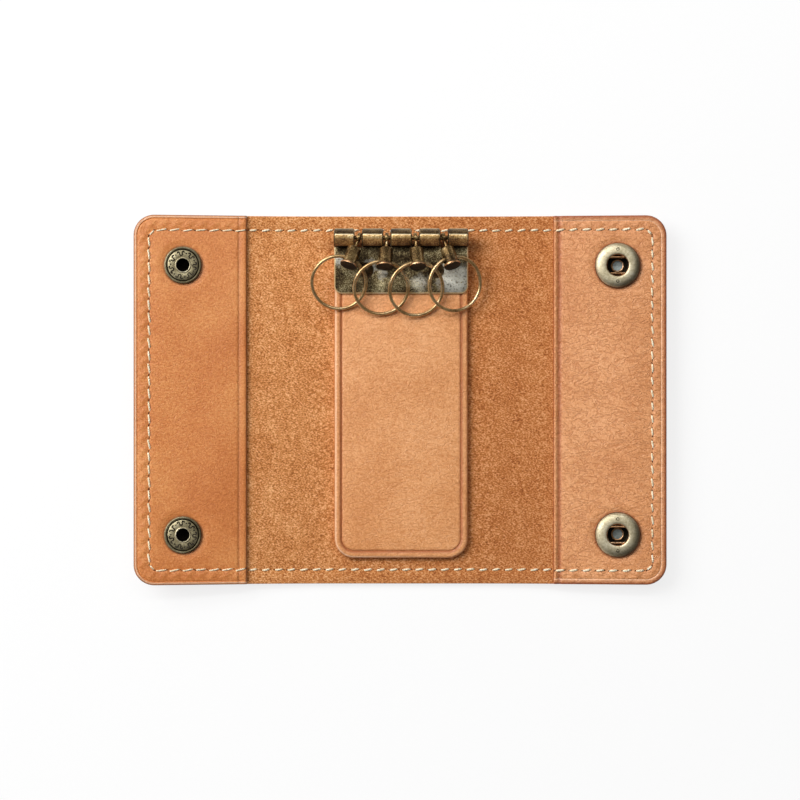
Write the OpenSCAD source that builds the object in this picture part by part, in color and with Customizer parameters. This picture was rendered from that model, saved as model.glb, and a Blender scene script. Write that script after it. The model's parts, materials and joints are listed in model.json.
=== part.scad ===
// Leather key case, opened flat: a wrap of cover and lining leather, two end facings,
// a two-layer tongue, a four-hook bar plate with swivel bells and wire rings, and two
// spring snaps. +X runs to the right flap, +Y to the hook bar, +Z out of the inside.

/* [Wrap] */
// Height of the wrap, along the hook bar's side to the far side
wrap_h = 96.4; // [90:0.2:110]
// Half of the wrap's developed width
half_w = 69.8; // [66:0.1:76]
// Radius of the wrap's four corners
corner_r = 5.4; // [2:0.2:10]
// Thickness of the outer cover leather
cover_t = 1.0; // [0.8:0.1:1.4]
// Thickness of the suede lining leather
lining_t = 0.8; // [0.6:0.1:1.2]
// Half width of the flat middle panel
panel_half_w = 17.9; // [17.8:0.1:19]
// Developed distance from the middle to where a flap starts
flap_start = 40.4; // [39:0.1:42]

/* [End facings] */
// Thickness of the smooth facing leather
facing_t = 1.2; // [0.8:0.1:1.6]
// Distance of the pressed crease from the facing's free edge
facing_crease_in = 2.0; // [1.5:0.1:4]
// Width of a pressed crease
crease_w = 0.45; // [0.3:0.05:0.8]
// Depth of a pressed crease
crease_d = 0.3; // [0.1:0.05:0.4]

/* [Tongue] */
// Width of the tongue
tongue_w = 35; // [34:0.1:36]
// Distance of the tongue's rounded free end from the wrap's edge
tongue_end_in = 6.8; // [4.6:0.1:18]
// Radius of the tongue's two free corners
tongue_r = 5.2; // [3:0.1:8]
// Thickness of each of the tongue's two leather layers
tongue_t = 1.0; // [0.8:0.1:1.2]
// Distance of the tongue's crease from its edge
tongue_crease_in = 2.2; // [1.8:0.1:4]
// How far the tongue and the plate are sewn right of the middle
tongue_shift = 0.3; // [0:0.1:1]

/* [Hook plate] */
// Width of the plate and its row of knuckles
plate_w = 35; // [34:0.1:36]
// Thickness of the plate
plate_t = 0.8; // [0.6:0.1:1]
// Distance from the hook bar down to the plate's lower edge
plate_drop = 14.45; // [13.3:0.05:18]
// Radius of the plate's two lower corners
plate_r = 2.0; // [1:0.1:4]
// Width of the bevel on the plate's rim
plate_bevel = 0.3; // [0.1:0.05:0.4]
// Distance of the hook bar from the wrap's edge
bar_in = 5.95; // [5.2:0.05:7.2]
// Diameter of the hook bar
bar_d = 1.1; // [0.9:0.05:1.2]
// Outer diameter of a knuckle
knuckle_d = 4.8; // [4.6:0.1:5]
// Width of each of the two end knuckles
end_knuckle_w = 5.375; // [5.3:0.025:5.6]
// Width of the gap between two knuckles
knuckle_gap = 1.9; // [1.8:0.05:2.1]

/* [Rivets] */
// Diameter of a rivet's domed head
rivet_head_d = 4.2; // [3.6:0.1:4.4]
// Height of a rivet's domed head
rivet_head_h = 1.1; // [0.8:0.05:1.2]
// Diameter of a rivet's shank
rivet_d = 1.8; // [1.4:0.1:2]
// Distance of the two rivets from the plate's lower edge
rivet_in = 6.1; // [4.6:0.1:7.2]
// Distance between the two rivets
rivet_span = 18.4; // [17:0.1:20]

/* [Hooks and rings] */
// Angle at which the hooks rest, up from the plate
hook_rise = 23; // [22:1:24]
// Outer diameter of a hook's eye on the bar
eye_d = 2.6; // [2.4:0.05:2.6]
// Bore of a hook's eye
eye_bore_d = 1.7; // [1.6:0.05:1.8]
// Width of a hook's eye
eye_w = 0.8; // [0.7:0.05:0.9]
// Diameter of a hook's swivel shank
shank_d = 0.7; // [0.6:0.05:0.7]
// Distance from the bar to the top of a bell
bell_top = 2.95; // [2.95:0.05:3.1]
// Distance from the bar to the closed end of a bell
bell_rim = 8.5; // [8.5:0.05:8.7]
// Outer diameter of a bell
bell_d = 3.7; // [3.5:0.05:3.8]
// Outer diameter of the flange at a bell's closed end
bell_rim_d = 4.4; // [4.2:0.05:4.5]
// Wall of a bell
bell_wall = 0.4; // [0.3:0.05:0.4]
// Width of a bell's two side windows
window_w = 1.7; // [1.6:0.05:1.9]
// Outer diameter of a key ring
ring_d = 15; // [14.8:0.1:15.2]
// Diameter of the key ring's wire
wire_d = 0.9; // [0.8:0.05:0.9]

/* [Snaps] */
// Distance of the snaps from a flap's outer edge
snap_end_in = 12.7; // [11.4:0.1:13.4]
// Distance of the snaps from the wrap's upper and lower edges
snap_edge_in = 13.1; // [11.2:0.1:15.2]
// Outer diameter of a snap eyelet, inside the left flap
eyelet_d = 9.7; // [9:0.1:10]
// Bore of a snap eyelet
eyelet_bore_d = 3.4; // [3:0.1:3.6]
// Height of a snap stud over the cover leather
stud_h = 3.3; // [3.2:0.05:3.4]
// Diameter of a snap stud's head
stud_head_d = 4.0; // [3.9:0.05:4.2]
// Outer diameter of a snap socket, inside the right flap
socket_d = 11.8; // [11:0.1:12.4]
// Diameter of the hole in a snap socket
socket_hole_d = 5.46; // [5.2:0.02:5.6]
// Height of a snap socket over the facing leather
socket_h = 1.7; // [1.6:0.05:1.8]
// Height of a snap cap over the cover leather
cap_h = 2.2; // [2:0.1:2.4]

/* [Thread] */
// Distance of the stitch line from the wrap's edge
stitch_in = 3.7; // [3:0.1:5]
// Pitch of the stitches
stitch_pitch = 3.27; // [3:0.01:4]
// Length of a stitch that shows
stitch_l = 2.2; // [1.8:0.1:2.4]
// Diameter of the sewing thread
thread_d = 0.5; // [0.4:0.05:0.6]

/* [Hidden] */

// Number of hooks, bells and rings
HOOKS = 4;
// Smoothness of round parts
ROUND = 64;
ARC = 720;
// Overrun of cuts, and the thin clearance between pieces that seat on each other
cut = 0.5;
seat_gap = 0.05;

// Colours of the leathers, the thread and the antique brass
tan_leather = [0.82, 0.55, 0.36];
suede = [0.72, 0.49, 0.30];
cream_thread = [0.95, 0.88, 0.75];
old_brass = [0.50, 0.41, 0.25];

wrap_t = cover_t + lining_t;
fold_l = flap_start - panel_half_w;
snap_in = half_w - flap_start - snap_end_in;
snap_y = wrap_h / 2 - snap_edge_in;
snap_reach = fold_l / 2 + snap_in;
facing_top = wrap_t + facing_t;

// A stud: its flange, neck and head
stud_flange_d = 9.2;
stud_flange_t = 0.5;
stud_neck_d = 3.3;
stud_head_h = 1.6;
stud_tip_d = 3.4;
// A cap: a slice of a ball of this radius, and its hollow post
cap_ball_r = (pow(socket_d / 2, 2) + pow(cap_h, 2)) / (2 * cap_h);
cap_post_d = 3.5;
cap_post_bore_d = 2.8;
cap_post_lip = 0.2;
// A socket: its cavity, its spring and the well that the stud's head drops into
spring_wire_d = 0.6;
spring_half_gap = 2.1;
spring_z = 1.1;
spring_turn_r = 4.4;
socket_wall = 0.35;
well_d = 5.0;
well_depth = 1.4;

// The open flaps stand on their studs and caps, and that sets their tilt
tilt_left = atan(stud_h / (snap_reach - stud_tip_d / 2));
cap_centre = cap_ball_r - cap_h;
tilt_right = asin(cap_ball_r / sqrt(pow(snap_reach, 2) + pow(cap_centre, 2)))
  - atan2(cap_centre, snap_reach);

function bend_r(tilt) = fold_l * 180 / (PI * tilt);
function flap_x(tilt) = panel_half_w + bend_r(tilt) * sin(tilt);
function flap_z(tilt) = bend_r(tilt) * (1 - cos(tilt));

// Where a flap's fold axis lies so that it closes with its snaps over the middle and
// its lining at height z_closed: [distance from the middle, height]
function fold_axis(tilt, z_closed) =
  let (
    c = cos(tilt), s = sin(tilt), qx = flap_x(tilt), qz = flap_z(tilt),
    across = qx * c + qz * s + snap_in,
    up = z_closed + wrap_t + qz * c - qx * s,
    det = pow(1 + c, 2) + pow(s, 2)
  ) [(across * (1 + c) - up * s) / det, (up * (1 + c) + across * s) / det];

// Heights of the stack on the middle panel
tongue_top = wrap_t + 2 * tongue_t;
plate_top = tongue_top + plate_t;
bar_z = tongue_top + knuckle_d / 2;
bar_y = wrap_h / 2 - bar_in;
plate_end_y = bar_y - plate_drop;
rivet_y = plate_end_y + rivet_in;
tongue_end_y = tongue_end_in - wrap_h / 2;
tongue_knuckle_gap = 0.5;
tongue_top_y = bar_y - knuckle_d / 2 - tongue_knuckle_gap;
hook_pitch = (plate_w - knuckle_gap - 2 * end_knuckle_w) / (HOOKS - 1);
closed_left = 14.4;
closed_snap = stud_flange_t + 2 * seat_gap + socket_h;
closed_right = closed_left + wrap_t + closed_snap + facing_t;
echo(left_fold_axis = fold_axis(tilt_left, closed_left), left_tilt = tilt_left);
echo(right_fold_axis = fold_axis(tilt_right, closed_right), right_tilt = tilt_right);

// How each hook and ring lies: how far its eye has slipped to the right in its gap, its
// splay to the right in the plane of the hooks, where the ring hangs along the bell, and
// the ring's turn, dip and roll
hook_slip = [0.12, 0, 0, -0.12];
hook_splay = [-18, -3.4, 4, 15.3];
ring_seat = [6.45, 6.95, 7.2, 6.0];
ring_turn = [-27.5, -9, -2.5, 11.5];
ring_dip = [15.5, 17, 16.4, 14];
ring_roll = [9, 9, 12, 16];
window_from = 5.4;
window_to = bell_rim - bell_wall;
pin_head_d = 1.9;
pin_head_h = 0.5;
bell_crown = 0.55;
ring_r = (ring_d - wire_d) / 2;

function gap_x(i) = tongue_shift + (i - (HOOKS - 1) / 2) * hook_pitch;
function hook_x(i) = gap_x(i) + hook_slip[i];

// A sheet with its outer two corners round: x from x0 to x1, h high
module rounded_end(x0, x1, h, r) {
  translate([x0, -h / 2]) square([x1 - x0 - r, h]);
  translate([x0, -h / 2 + r]) square([x1 - x0, h - 2 * r]);
  for (y = [-1, 1]) translate([x1 - r, y * (h / 2 - r)]) circle(r, $fn = ROUND);
}

// A sheet with its lower two corners round: w wide about x = 0, y from y0 to y1
module rounded_foot(w, y0, y1, r) {
  translate([-w / 2, y0 + r]) square([w, y1 - y0 - r]);
  translate([-w / 2 + r, y0]) square([w - 2 * r, y1 - y0]);
  for (x = [-1, 1]) translate([x * (w / 2 - r), y0 + r]) circle(r, $fn = ROUND);
}

module to_side(side) {
  if (side > 0) children();
  else mirror([1, 0, 0]) children();
}

// Puts what is drawn on the flat, unfolded right flap where the tilted flap is
module on_flap(tilt) {
  translate([flap_x(tilt), 0, flap_z(tilt)]) rotate([0, -tilt, 0])
    translate([-flap_start, 0, 0]) children();
}

module flap_sheet(tilt, z, t) {
  on_flap(tilt) difference() {
    translate([0, 0, z]) linear_extrude(t) rounded_end(flap_start, half_w, wrap_h, corner_r);
    children();
  }
}

module fold_sheet(tilt, z, t) {
  r = bend_r(tilt);
  translate([panel_half_w, 0, r]) rotate([90, 0, 0]) rotate([0, 0, -90])
    rotate_extrude(angle = tilt, $fn = ARC)
      translate([r - z - t, -wrap_h / 2]) square([t, wrap_h]);
}

module at_snaps() {
  for (y = [-1, 1]) translate([flap_start + snap_in, y * snap_y, 0]) children();
}

module snap_holes(d) {
  at_snaps() translate([0, 0, -cut]) cylinder(d = d, h = facing_top + 2 * cut, $fn = ROUND);
}

module panel_sheet(z, t) {
  translate([-panel_half_w, -wrap_h / 2, z]) cube([2 * panel_half_w, wrap_h, t]);
}

module cover_centre() { color(tan_leather) panel_sheet(0, cover_t); }
module cover_fold_left() { color(tan_leather) to_side(-1) fold_sheet(tilt_left, 0, cover_t); }
module cover_fold_right() { color(tan_leather) fold_sheet(tilt_right, 0, cover_t); }
module cover_left() {
  color(tan_leather) to_side(-1) flap_sheet(tilt_left, 0, cover_t) snap_holes(barrel_d + 2 * seat_gap);
}
module cover_right() {
  color(tan_leather) flap_sheet(tilt_right, 0, cover_t) snap_holes(cap_post_d + 2 * seat_gap);
}

burr_d = 3.4;
burr_t = 0.35;
module at_rivets() {
  for (x = [-1, 1]) translate([tongue_shift + x * rivet_span / 2, rivet_y, 0]) children();
}

module rivet_holes() {
  at_rivets() translate([0, 0, cover_t])
    cylinder(d = rivet_d + 2 * seat_gap, h = plate_top, $fn = ROUND);
}

module lining_centre() {
  color(suede) difference() {
    panel_sheet(cover_t, lining_t);
    rivet_holes();
    at_rivets() translate([0, 0, cover_t - cut])
      cylinder(d = burr_d + 2 * seat_gap, h = burr_t + cut, $fn = ROUND);
  }
}
module lining_fold_left() { color(suede) to_side(-1) fold_sheet(tilt_left, cover_t, lining_t); }
module lining_fold_right() { color(suede) fold_sheet(tilt_right, cover_t, lining_t); }
module lining_left() {
  color(suede) to_side(-1) flap_sheet(tilt_left, cover_t, lining_t) snap_holes(barrel_d + 2 * seat_gap);
}
well_outer_d = well_d + 2 * socket_wall;
module lining_right() {
  color(suede) flap_sheet(tilt_right, cover_t, lining_t) {
    snap_holes(cap_post_d + 2 * seat_gap);
    at_snaps() translate([0, 0, facing_top - well_depth - socket_wall])
      cylinder(d = well_outer_d + 2 * seat_gap, h = facing_t + lining_t, $fn = ROUND);
  }
}

module facing_crease() {
  translate([flap_start + facing_crease_in, -wrap_h / 2 - cut, facing_top - crease_d])
    cube([crease_w, wrap_h + 2 * cut, crease_d + cut]);
}

module facing_left() {
  color(tan_leather) to_side(-1) flap_sheet(tilt_left, wrap_t, facing_t) {
    snap_holes(barrel_d + 2 * seat_gap);
    facing_crease();
  }
}
module facing_right() {
  color(tan_leather) flap_sheet(tilt_right, wrap_t, facing_t) {
    snap_holes(well_outer_d + 2 * seat_gap);
    facing_crease();
  }
}

module tongue_layer(z) {
  difference() {
    translate([tongue_shift, 0, z]) linear_extrude(tongue_t)
      rounded_foot(tongue_w, tongue_end_y, tongue_top_y, tongue_r);
    rivet_holes();
  }
}

module tongue_back() { color(tan_leather) tongue_layer(wrap_t); }
module tongue_face() {
  color(tan_leather) difference() {
    tongue_layer(wrap_t + tongue_t);
    translate([tongue_shift, 0, tongue_top - crease_d]) linear_extrude(crease_d + cut)
      difference() {
        rounded_foot(tongue_w - 2 * tongue_crease_in, tongue_end_y + tongue_crease_in,
          plate_end_y, tongue_r - tongue_crease_in);
        rounded_foot(tongue_w - 2 * (tongue_crease_in + crease_w),
          tongue_end_y + tongue_crease_in + crease_w, plate_end_y + cut,
          tongue_r - tongue_crease_in - crease_w);
      }
  }
}

knuckle_bore_gap = 0.05;
knuckle_bevel = 0.3;
module on_bar(x) { translate([x, bar_y, bar_z]) rotate([0, 90, 0]) children(); }

module hook_plate() {
  color(old_brass) difference() {
    union() {
      difference() {
        translate([tongue_shift, 0, tongue_top]) linear_extrude(plate_t)
          rounded_foot(plate_w, plate_end_y, bar_y, plate_r);
        plate_rim_cut();
      }
      on_bar(tongue_shift) cylinder(d = knuckle_d, h = plate_w, center = true, $fn = ROUND);
    }
    for (i = [0:HOOKS - 1]) {
      translate([gap_x(i) - knuckle_gap / 2, bar_y - knuckle_d / 2 - seat_gap, wrap_t])
        cube([knuckle_gap, knuckle_d + 2 * seat_gap, bar_z + knuckle_d]);
      on_bar(gap_x(i)) knuckle_bevels(knuckle_gap / 2, 1);
    }
    on_bar(tongue_shift) knuckle_bevels(plate_w / 2, -1);
    on_bar(tongue_shift)
      cylinder(d = bar_d + 2 * knuckle_bore_gap, h = plate_w + 2 * cut, center = true, $fn = ROUND);
    rivet_holes();
  }
}

// Cuts a bevel on the two knuckle ends that lie at half from here. They face each other
// across a gap (way 1), or outwards (way -1).
module knuckle_bevels(half, way) {
  r = knuckle_d / 2;
  b = knuckle_bevel;
  for (z = [0, 1]) mirror([0, 0, z]) rotate_extrude($fn = ROUND) polygon([
    [r - b, half], [r + cut, half + way * (b + cut)], [r + cut, half - way * cut],
    [r - b, half - way * cut]
  ]);
}

// Cuts the bevel along the plate's lower edge, its two sides and its two round corners
module plate_rim_cut() {
  side = plate_w / 2 - plate_r;
  run = bar_y - knuckle_d / 2 - plate_end_y - plate_r;
  translate([tongue_shift, 0, plate_top]) {
    translate([0, plate_end_y, 0]) rotate([45, 0, 0])
      cube([2 * side, sqrt(2) * plate_bevel, sqrt(2) * plate_bevel], center = true);
    for (x = [-1, 1]) {
      translate([x * plate_w / 2, plate_end_y + plate_r + run / 2, 0]) rotate([0, 45, 0])
        cube([sqrt(2) * plate_bevel, run, sqrt(2) * plate_bevel], center = true);
      translate([x * side, plate_end_y + plate_r, 0]) mirror([x > 0 ? 0 : 1, 0, 0])
        rotate([0, 0, -90]) rotate_extrude(angle = 90, $fn = ROUND)
          polygon([[plate_r - plate_bevel, 0], [plate_r, -plate_bevel],
            [plate_r + plate_bevel, 0], [plate_r, plate_bevel]]);
    }
  }
}

module hook_bar() {
  color(old_brass) on_bar(tongue_shift)
    cylinder(d = bar_d, h = plate_w - 2 * seat_gap, center = true, $fn = ROUND);
}

// A rivet's dome is a slice of a ball
rivet_ball_r = (pow(rivet_head_d / 2, 2) + pow(rivet_head_h, 2)) / (2 * rivet_head_h);
module plate_rivets() {
  color(old_brass) at_rivets() {
    translate([0, 0, cover_t])
      cylinder(d = rivet_d, h = plate_top + seat_gap - cover_t, $fn = ROUND);
    intersection() {
      translate([0, 0, plate_top + rivet_head_h - rivet_ball_r]) sphere(rivet_ball_r, $fn = ROUND);
      translate([0, 0, plate_top]) cylinder(d = rivet_head_d, h = rivet_head_h, $fn = ROUND);
    }
  }
}

module rivet_burrs() {
  color(old_brass) at_rivets() translate([0, 0, cover_t]) difference() {
    cylinder(d = burr_d, h = burr_t, $fn = ROUND);
    translate([0, 0, -cut])
      cylinder(d = rivet_d + 2 * seat_gap, h = burr_t + 2 * cut, $fn = ROUND);
  }
}

// A hook's own frame: Z runs from the bar down the hook, X along the bar, Y upwards
module hook_frame(i) {
  translate([hook_x(i), bar_y, bar_z]) rotate([-hook_rise, 0, 0])
    rotate([0, 0, hook_splay[i]]) rotate([90, 0, 0]) children();
}

module hook_pin(i) {
  color(old_brass) hook_frame(i) {
    difference() {
      rotate([0, 90, 0]) cylinder(d = eye_d, h = eye_w, center = true, $fn = ROUND);
      rotate([0, 90, 0]) cylinder(d = eye_bore_d, h = eye_w + 2 * cut, center = true, $fn = ROUND);
    }
    difference() {
      union() {
        cylinder(d = shank_d, h = bell_top + bell_crown + pin_head_h, $fn = ROUND);
        translate([0, 0, bell_top + bell_crown + seat_gap])
          cylinder(d = pin_head_d, h = pin_head_h, $fn = ROUND);
      }
      rotate([0, 90, 0]) cylinder(d = (eye_d + eye_bore_d) / 2, h = eye_d, center = true, $fn = ROUND);
    }
  }
}
module hook_pin_1() { hook_pin(0); }
module hook_pin_2() { hook_pin(1); }
module hook_pin_3() { hook_pin(2); }
module hook_pin_4() { hook_pin(3); }

bell_shoulder = 0.6;
bell_flare_l = 0.9;
bell_neck_d = 2.2;
module bell(i) {
  r = bell_d / 2;
  rr = bell_rim_d / 2;
  bore_r = shank_d / 2 + seat_gap;
  color(old_brass) hook_frame(i) rotate([0, 0, -ring_roll[i]]) difference() {
    rotate_extrude($fn = ROUND) polygon([
      [bore_r, bell_top], [bell_neck_d / 2, bell_top], [r, bell_top + bell_shoulder],
      [r, bell_rim - bell_flare_l], [rr, bell_rim - bell_wall], [rr, bell_rim],
      [0, bell_rim], [0, bell_rim - bell_wall], [r - bell_wall, bell_rim - bell_wall],
      [r - bell_wall, bell_top + bell_shoulder + bell_wall],
      [r - bell_wall - bell_wall / 2, bell_top + bell_crown], [bore_r, bell_top + bell_crown]
    ]);
    translate([0, 0, window_from + window_w / 2]) {
      rotate([0, 90, 0]) cylinder(d = window_w, h = bell_rim_d, center = true, $fn = ROUND);
      translate([-bell_rim_d / 2, -window_w / 2, 0])
        cube([bell_rim_d, window_w, window_to - window_from - window_w / 2]);
    }
  }
}
module bell_1() { bell(0); }
module bell_2() { bell(1); }
module bell_3() { bell(2); }
module bell_4() { bell(3); }

// Where a ring's top sits in its bell
module ring_frame(i) {
  translate([hook_x(i), bar_y, bar_z]) rotate([-hook_rise, 0, 0]) rotate([0, 0, hook_splay[i]])
    translate([0, -ring_seat[i], 0]) rotate([0, 0, -hook_splay[i]]) rotate([hook_rise, 0, 0])
      rotate([ring_dip[i], 0, ring_turn[i]]) rotate([0, ring_roll[i], 0]) children();
}

module key_ring(i) {
  color(old_brass) ring_frame(i) translate([0, -ring_r, 0])
    rotate_extrude($fn = ROUND) translate([ring_r, 0]) circle(d = wire_d, $fn = 24);
}
module key_ring_1() { key_ring(0); }
module key_ring_2() { key_ring(1); }
module key_ring_3() { key_ring(2); }
module key_ring_4() { key_ring(3); }

barrel_wall = 0.35;
barrel_d = eyelet_bore_d + 2 * barrel_wall;
eyelet_t = 0.4;
eyelet_rim_h = 0.8;
eyelet_band_h = 0.6;
eyelet_lip_h = 1.0;
eyelet_rim_w = 0.55;
eyelet_groove_w = 0.35;
eyelet_band_w = 1.6;
module snap_eyelets() {
  r = eyelet_d / 2;
  bore = eyelet_bore_d / 2;
  color(old_brass) to_side(-1) on_flap(tilt_left) at_snaps() {
    translate([0, 0, facing_top]) rotate_extrude($fn = ROUND) polygon([
      [bore, 0], [r - eyelet_rim_w / 2, 0], [r, eyelet_t / 2], [r, eyelet_rim_h - eyelet_t / 2],
      [r - eyelet_rim_w / 2, eyelet_rim_h], [r - eyelet_rim_w, eyelet_rim_h - eyelet_t / 2],
      [r - eyelet_rim_w, eyelet_t], [r - eyelet_rim_w - eyelet_groove_w, eyelet_t],
      [r - eyelet_rim_w - eyelet_groove_w, eyelet_band_h],
      [r - eyelet_rim_w - eyelet_groove_w - eyelet_band_w, eyelet_band_h],
      [bore + barrel_wall + eyelet_groove_w, eyelet_t], [bore + barrel_wall, eyelet_lip_h - eyelet_t / 2],
      [bore + barrel_wall / 2, eyelet_lip_h], [bore, eyelet_lip_h - eyelet_t / 2]
    ]);
    difference() {
      cylinder(d = barrel_d, h = facing_top + eyelet_t / 2, $fn = ROUND);
      translate([0, 0, -cut])
        cylinder(d = eyelet_bore_d, h = facing_top + eyelet_t + 2 * cut, $fn = ROUND);
    }
  }
}

module snap_studs() {
  neck = stud_neck_d / 2;
  head = stud_head_d / 2;
  tip = stud_tip_d / 2;
  neck_end = stud_h - stud_head_h;
  bevel = head - tip;
  color(old_brass) to_side(-1) on_flap(tilt_left) at_snaps() mirror([0, 0, 1])
    rotate_extrude($fn = ROUND) polygon([
      [0, 0], [stud_flange_d / 2 - stud_flange_t / 2, 0], [stud_flange_d / 2, stud_flange_t / 2],
      [stud_flange_d / 2 - stud_flange_t / 2, stud_flange_t], [neck, stud_flange_t],
      [neck, neck_end], [head, neck_end + head - neck], [head, stud_h - bevel], [tip, stud_h],
      [0, stud_h]
    ]);
}

// A socket's half section: a domed ring over a spring cavity, and the well below it
module socket_section() {
  r = socket_d / 2;
  hole = socket_hole_d / 2;
  crown = (r + hole) / 2;
  difference() {
    union() {
      polygon([
        [well_d / 2, 0], [r - socket_wall, 0], [r, socket_wall], [r - socket_wall / 2, socket_h / 2],
        [(r + crown) / 2, socket_h - socket_wall / 2], [crown, socket_h],
        [hole + socket_wall, socket_h], [hole, socket_h - socket_wall], [hole, 0]
      ]);
      translate([well_d / 2, -well_depth - socket_wall])
        square([socket_wall, well_depth + 2 * socket_wall]);
      translate([cap_post_d / 2 + seat_gap, -well_depth - socket_wall])
        square([well_outer_d / 2 - cap_post_d / 2 - seat_gap, socket_wall]);
    }
    translate([hole - cut, spring_z - spring_wire_d / 2 - seat_gap])
      square([spring_turn_r + spring_wire_d - hole + cut, spring_wire_d + 2 * seat_gap]);
  }
}

module snap_sockets() {
  color(old_brass) on_flap(tilt_right) at_snaps() translate([0, 0, facing_top])
    rotate_extrude($fn = ROUND) socket_section();
}

// Each spring is one wire, bent into two straight arms and a round turn that joins them,
// with the bends worn a little thicker than the wire
module snap_springs() {
  w = spring_wire_d;
  reach = sqrt(pow(spring_turn_r, 2) - pow(spring_half_gap, 2));
  lean = acos(spring_half_gap / spring_turn_r);
  color(old_brass) on_flap(tilt_right) at_snaps() translate([0, 0, facing_top + spring_z]) {
    for (y = [-1, 1]) translate([-reach, y * spring_half_gap, 0]) {
      rotate([0, 90, 0]) cylinder(d = w, h = 2 * reach, $fn = 24);
      sphere(d = w + seat_gap, $fn = 24);
    }
    rotate([0, 0, 90 + lean]) rotate_extrude(angle = 180 - 2 * lean, $fn = ROUND)
      translate([spring_turn_r, 0]) circle(d = w, $fn = 24);
  }
}

module snap_caps() {
  post_top = facing_top - well_depth;
  color(old_brass) on_flap(tilt_right) at_snaps() {
    intersection() {
      translate([0, 0, cap_centre]) sphere(cap_ball_r, $fn = ROUND);
      translate([0, 0, -cap_h]) cylinder(d = socket_d, h = cap_h, $fn = ROUND);
    }
    difference() {
      translate([0, 0, -seat_gap])
        cylinder(d = cap_post_d, h = post_top + cap_post_lip + seat_gap, $fn = ROUND);
      cylinder(d = cap_post_bore_d, h = post_top + cut, $fn = ROUND);
    }
  }
}

// Stitches are short lengths of thread that lie on the leather, end to end in a row
module stitch(z) {
  translate([0, 0, z + thread_d / 2]) rotate([0, 90, 0])
    cylinder(d = thread_d, h = stitch_l, center = true, $fn = 16);
}

stitch_y = wrap_h / 2 - stitch_in;
// Places of a row's stitches: as many whole pitches as fit between a and b
function row(a, b) = let (n = floor((b - a) / stitch_pitch), s = (b - a - n * stitch_pitch) / 2)
  [for (k = [0:n - 1]) a + s + (k + 1 / 2) * stitch_pitch];

module thread_centre() {
  color(cream_thread) for (y = [-1, 1], x = row(-panel_half_w, panel_half_w))
    translate([x, y * stitch_y, 0]) stitch(wrap_t);
}

module fold_thread(tilt) {
  r = bend_r(tilt);
  color(cream_thread) for (y = [-1, 1], s = row(panel_half_w, flap_start))
    translate([panel_half_w, y * stitch_y, r]) rotate([0, -(s - panel_half_w) / r * 180 / PI, 0])
      translate([0, 0, -r]) stitch(wrap_t);
}
module thread_fold_left() { to_side(-1) fold_thread(tilt_left); }
module thread_fold_right() { fold_thread(tilt_right); }

module flap_thread(tilt) {
  turn = corner_r - stitch_in + stitch_l;
  color(cream_thread) on_flap(tilt) {
    for (y = [-1, 1], x = row(flap_start, half_w - stitch_in - turn))
      translate([x, y * stitch_y, 0]) stitch(facing_top);
    for (y = row(-stitch_y + turn, stitch_y - turn))
      translate([half_w - stitch_in, y, 0]) rotate([0, 0, 90]) stitch(facing_top);
    for (y = [-1, 1])
      translate([half_w - stitch_in - turn / 2, y * (stitch_y - turn / 2), 0])
        rotate([0, 0, -45 * y]) stitch(facing_top);
  }
}
module thread_left() { to_side(-1) flap_thread(tilt_left); }
module thread_right() { flap_thread(tilt_right); }

cover_centre();
cover_fold_left();
cover_fold_right();
cover_left();
cover_right();
lining_centre();
lining_fold_left();
lining_fold_right();
lining_left();
lining_right();
facing_left();
facing_right();
tongue_back();
tongue_face();
hook_plate();
hook_bar();
plate_rivets();
rivet_burrs();
hook_pin_1();
hook_pin_2();
hook_pin_3();
hook_pin_4();
bell_1();
bell_2();
bell_3();
bell_4();
key_ring_1();
key_ring_2();
key_ring_3();
key_ring_4();
snap_eyelets();
snap_studs();
snap_sockets();
snap_springs();
snap_caps();
thread_centre();
thread_fold_left();
thread_fold_right();
thread_left();
thread_right();
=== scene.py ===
# %% [markdown]
# # A leather key case, dressed around its CAD frame
# The CAD model gives every piece its real size and place. This notebook gives each one
# its finish: leather with creases, rolled edges and stitches, suede with its nap, and
# brass that has aged dark in the hollows and bright where fingers and keys rub it.
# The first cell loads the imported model. Its nodes stay where they are: a piece that
# needs a finer shape is modelled anew and then stands for its node.

# %% Load the frame
import json
import math

import bmesh
import bpy
import numpy as np
from mathutils import Matrix, Vector

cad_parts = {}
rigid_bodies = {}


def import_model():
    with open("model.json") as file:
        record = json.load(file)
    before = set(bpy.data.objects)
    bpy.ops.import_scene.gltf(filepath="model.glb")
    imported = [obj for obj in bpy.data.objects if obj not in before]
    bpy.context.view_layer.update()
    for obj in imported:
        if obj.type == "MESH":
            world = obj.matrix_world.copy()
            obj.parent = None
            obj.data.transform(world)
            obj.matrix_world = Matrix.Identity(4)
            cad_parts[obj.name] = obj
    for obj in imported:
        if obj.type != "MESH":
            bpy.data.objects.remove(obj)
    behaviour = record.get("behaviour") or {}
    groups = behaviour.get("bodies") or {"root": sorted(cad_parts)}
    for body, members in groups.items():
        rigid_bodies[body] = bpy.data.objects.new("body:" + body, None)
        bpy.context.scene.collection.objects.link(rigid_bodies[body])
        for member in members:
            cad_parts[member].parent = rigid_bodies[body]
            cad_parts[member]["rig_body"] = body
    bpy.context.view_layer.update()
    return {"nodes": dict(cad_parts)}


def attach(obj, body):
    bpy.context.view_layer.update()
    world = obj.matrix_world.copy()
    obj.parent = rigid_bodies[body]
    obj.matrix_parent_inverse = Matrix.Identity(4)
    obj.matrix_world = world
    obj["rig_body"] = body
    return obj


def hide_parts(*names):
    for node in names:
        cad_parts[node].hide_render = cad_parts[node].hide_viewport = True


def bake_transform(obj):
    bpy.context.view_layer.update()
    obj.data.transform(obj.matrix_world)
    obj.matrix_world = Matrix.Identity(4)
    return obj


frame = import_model()
nodes = frame["nodes"]

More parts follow.
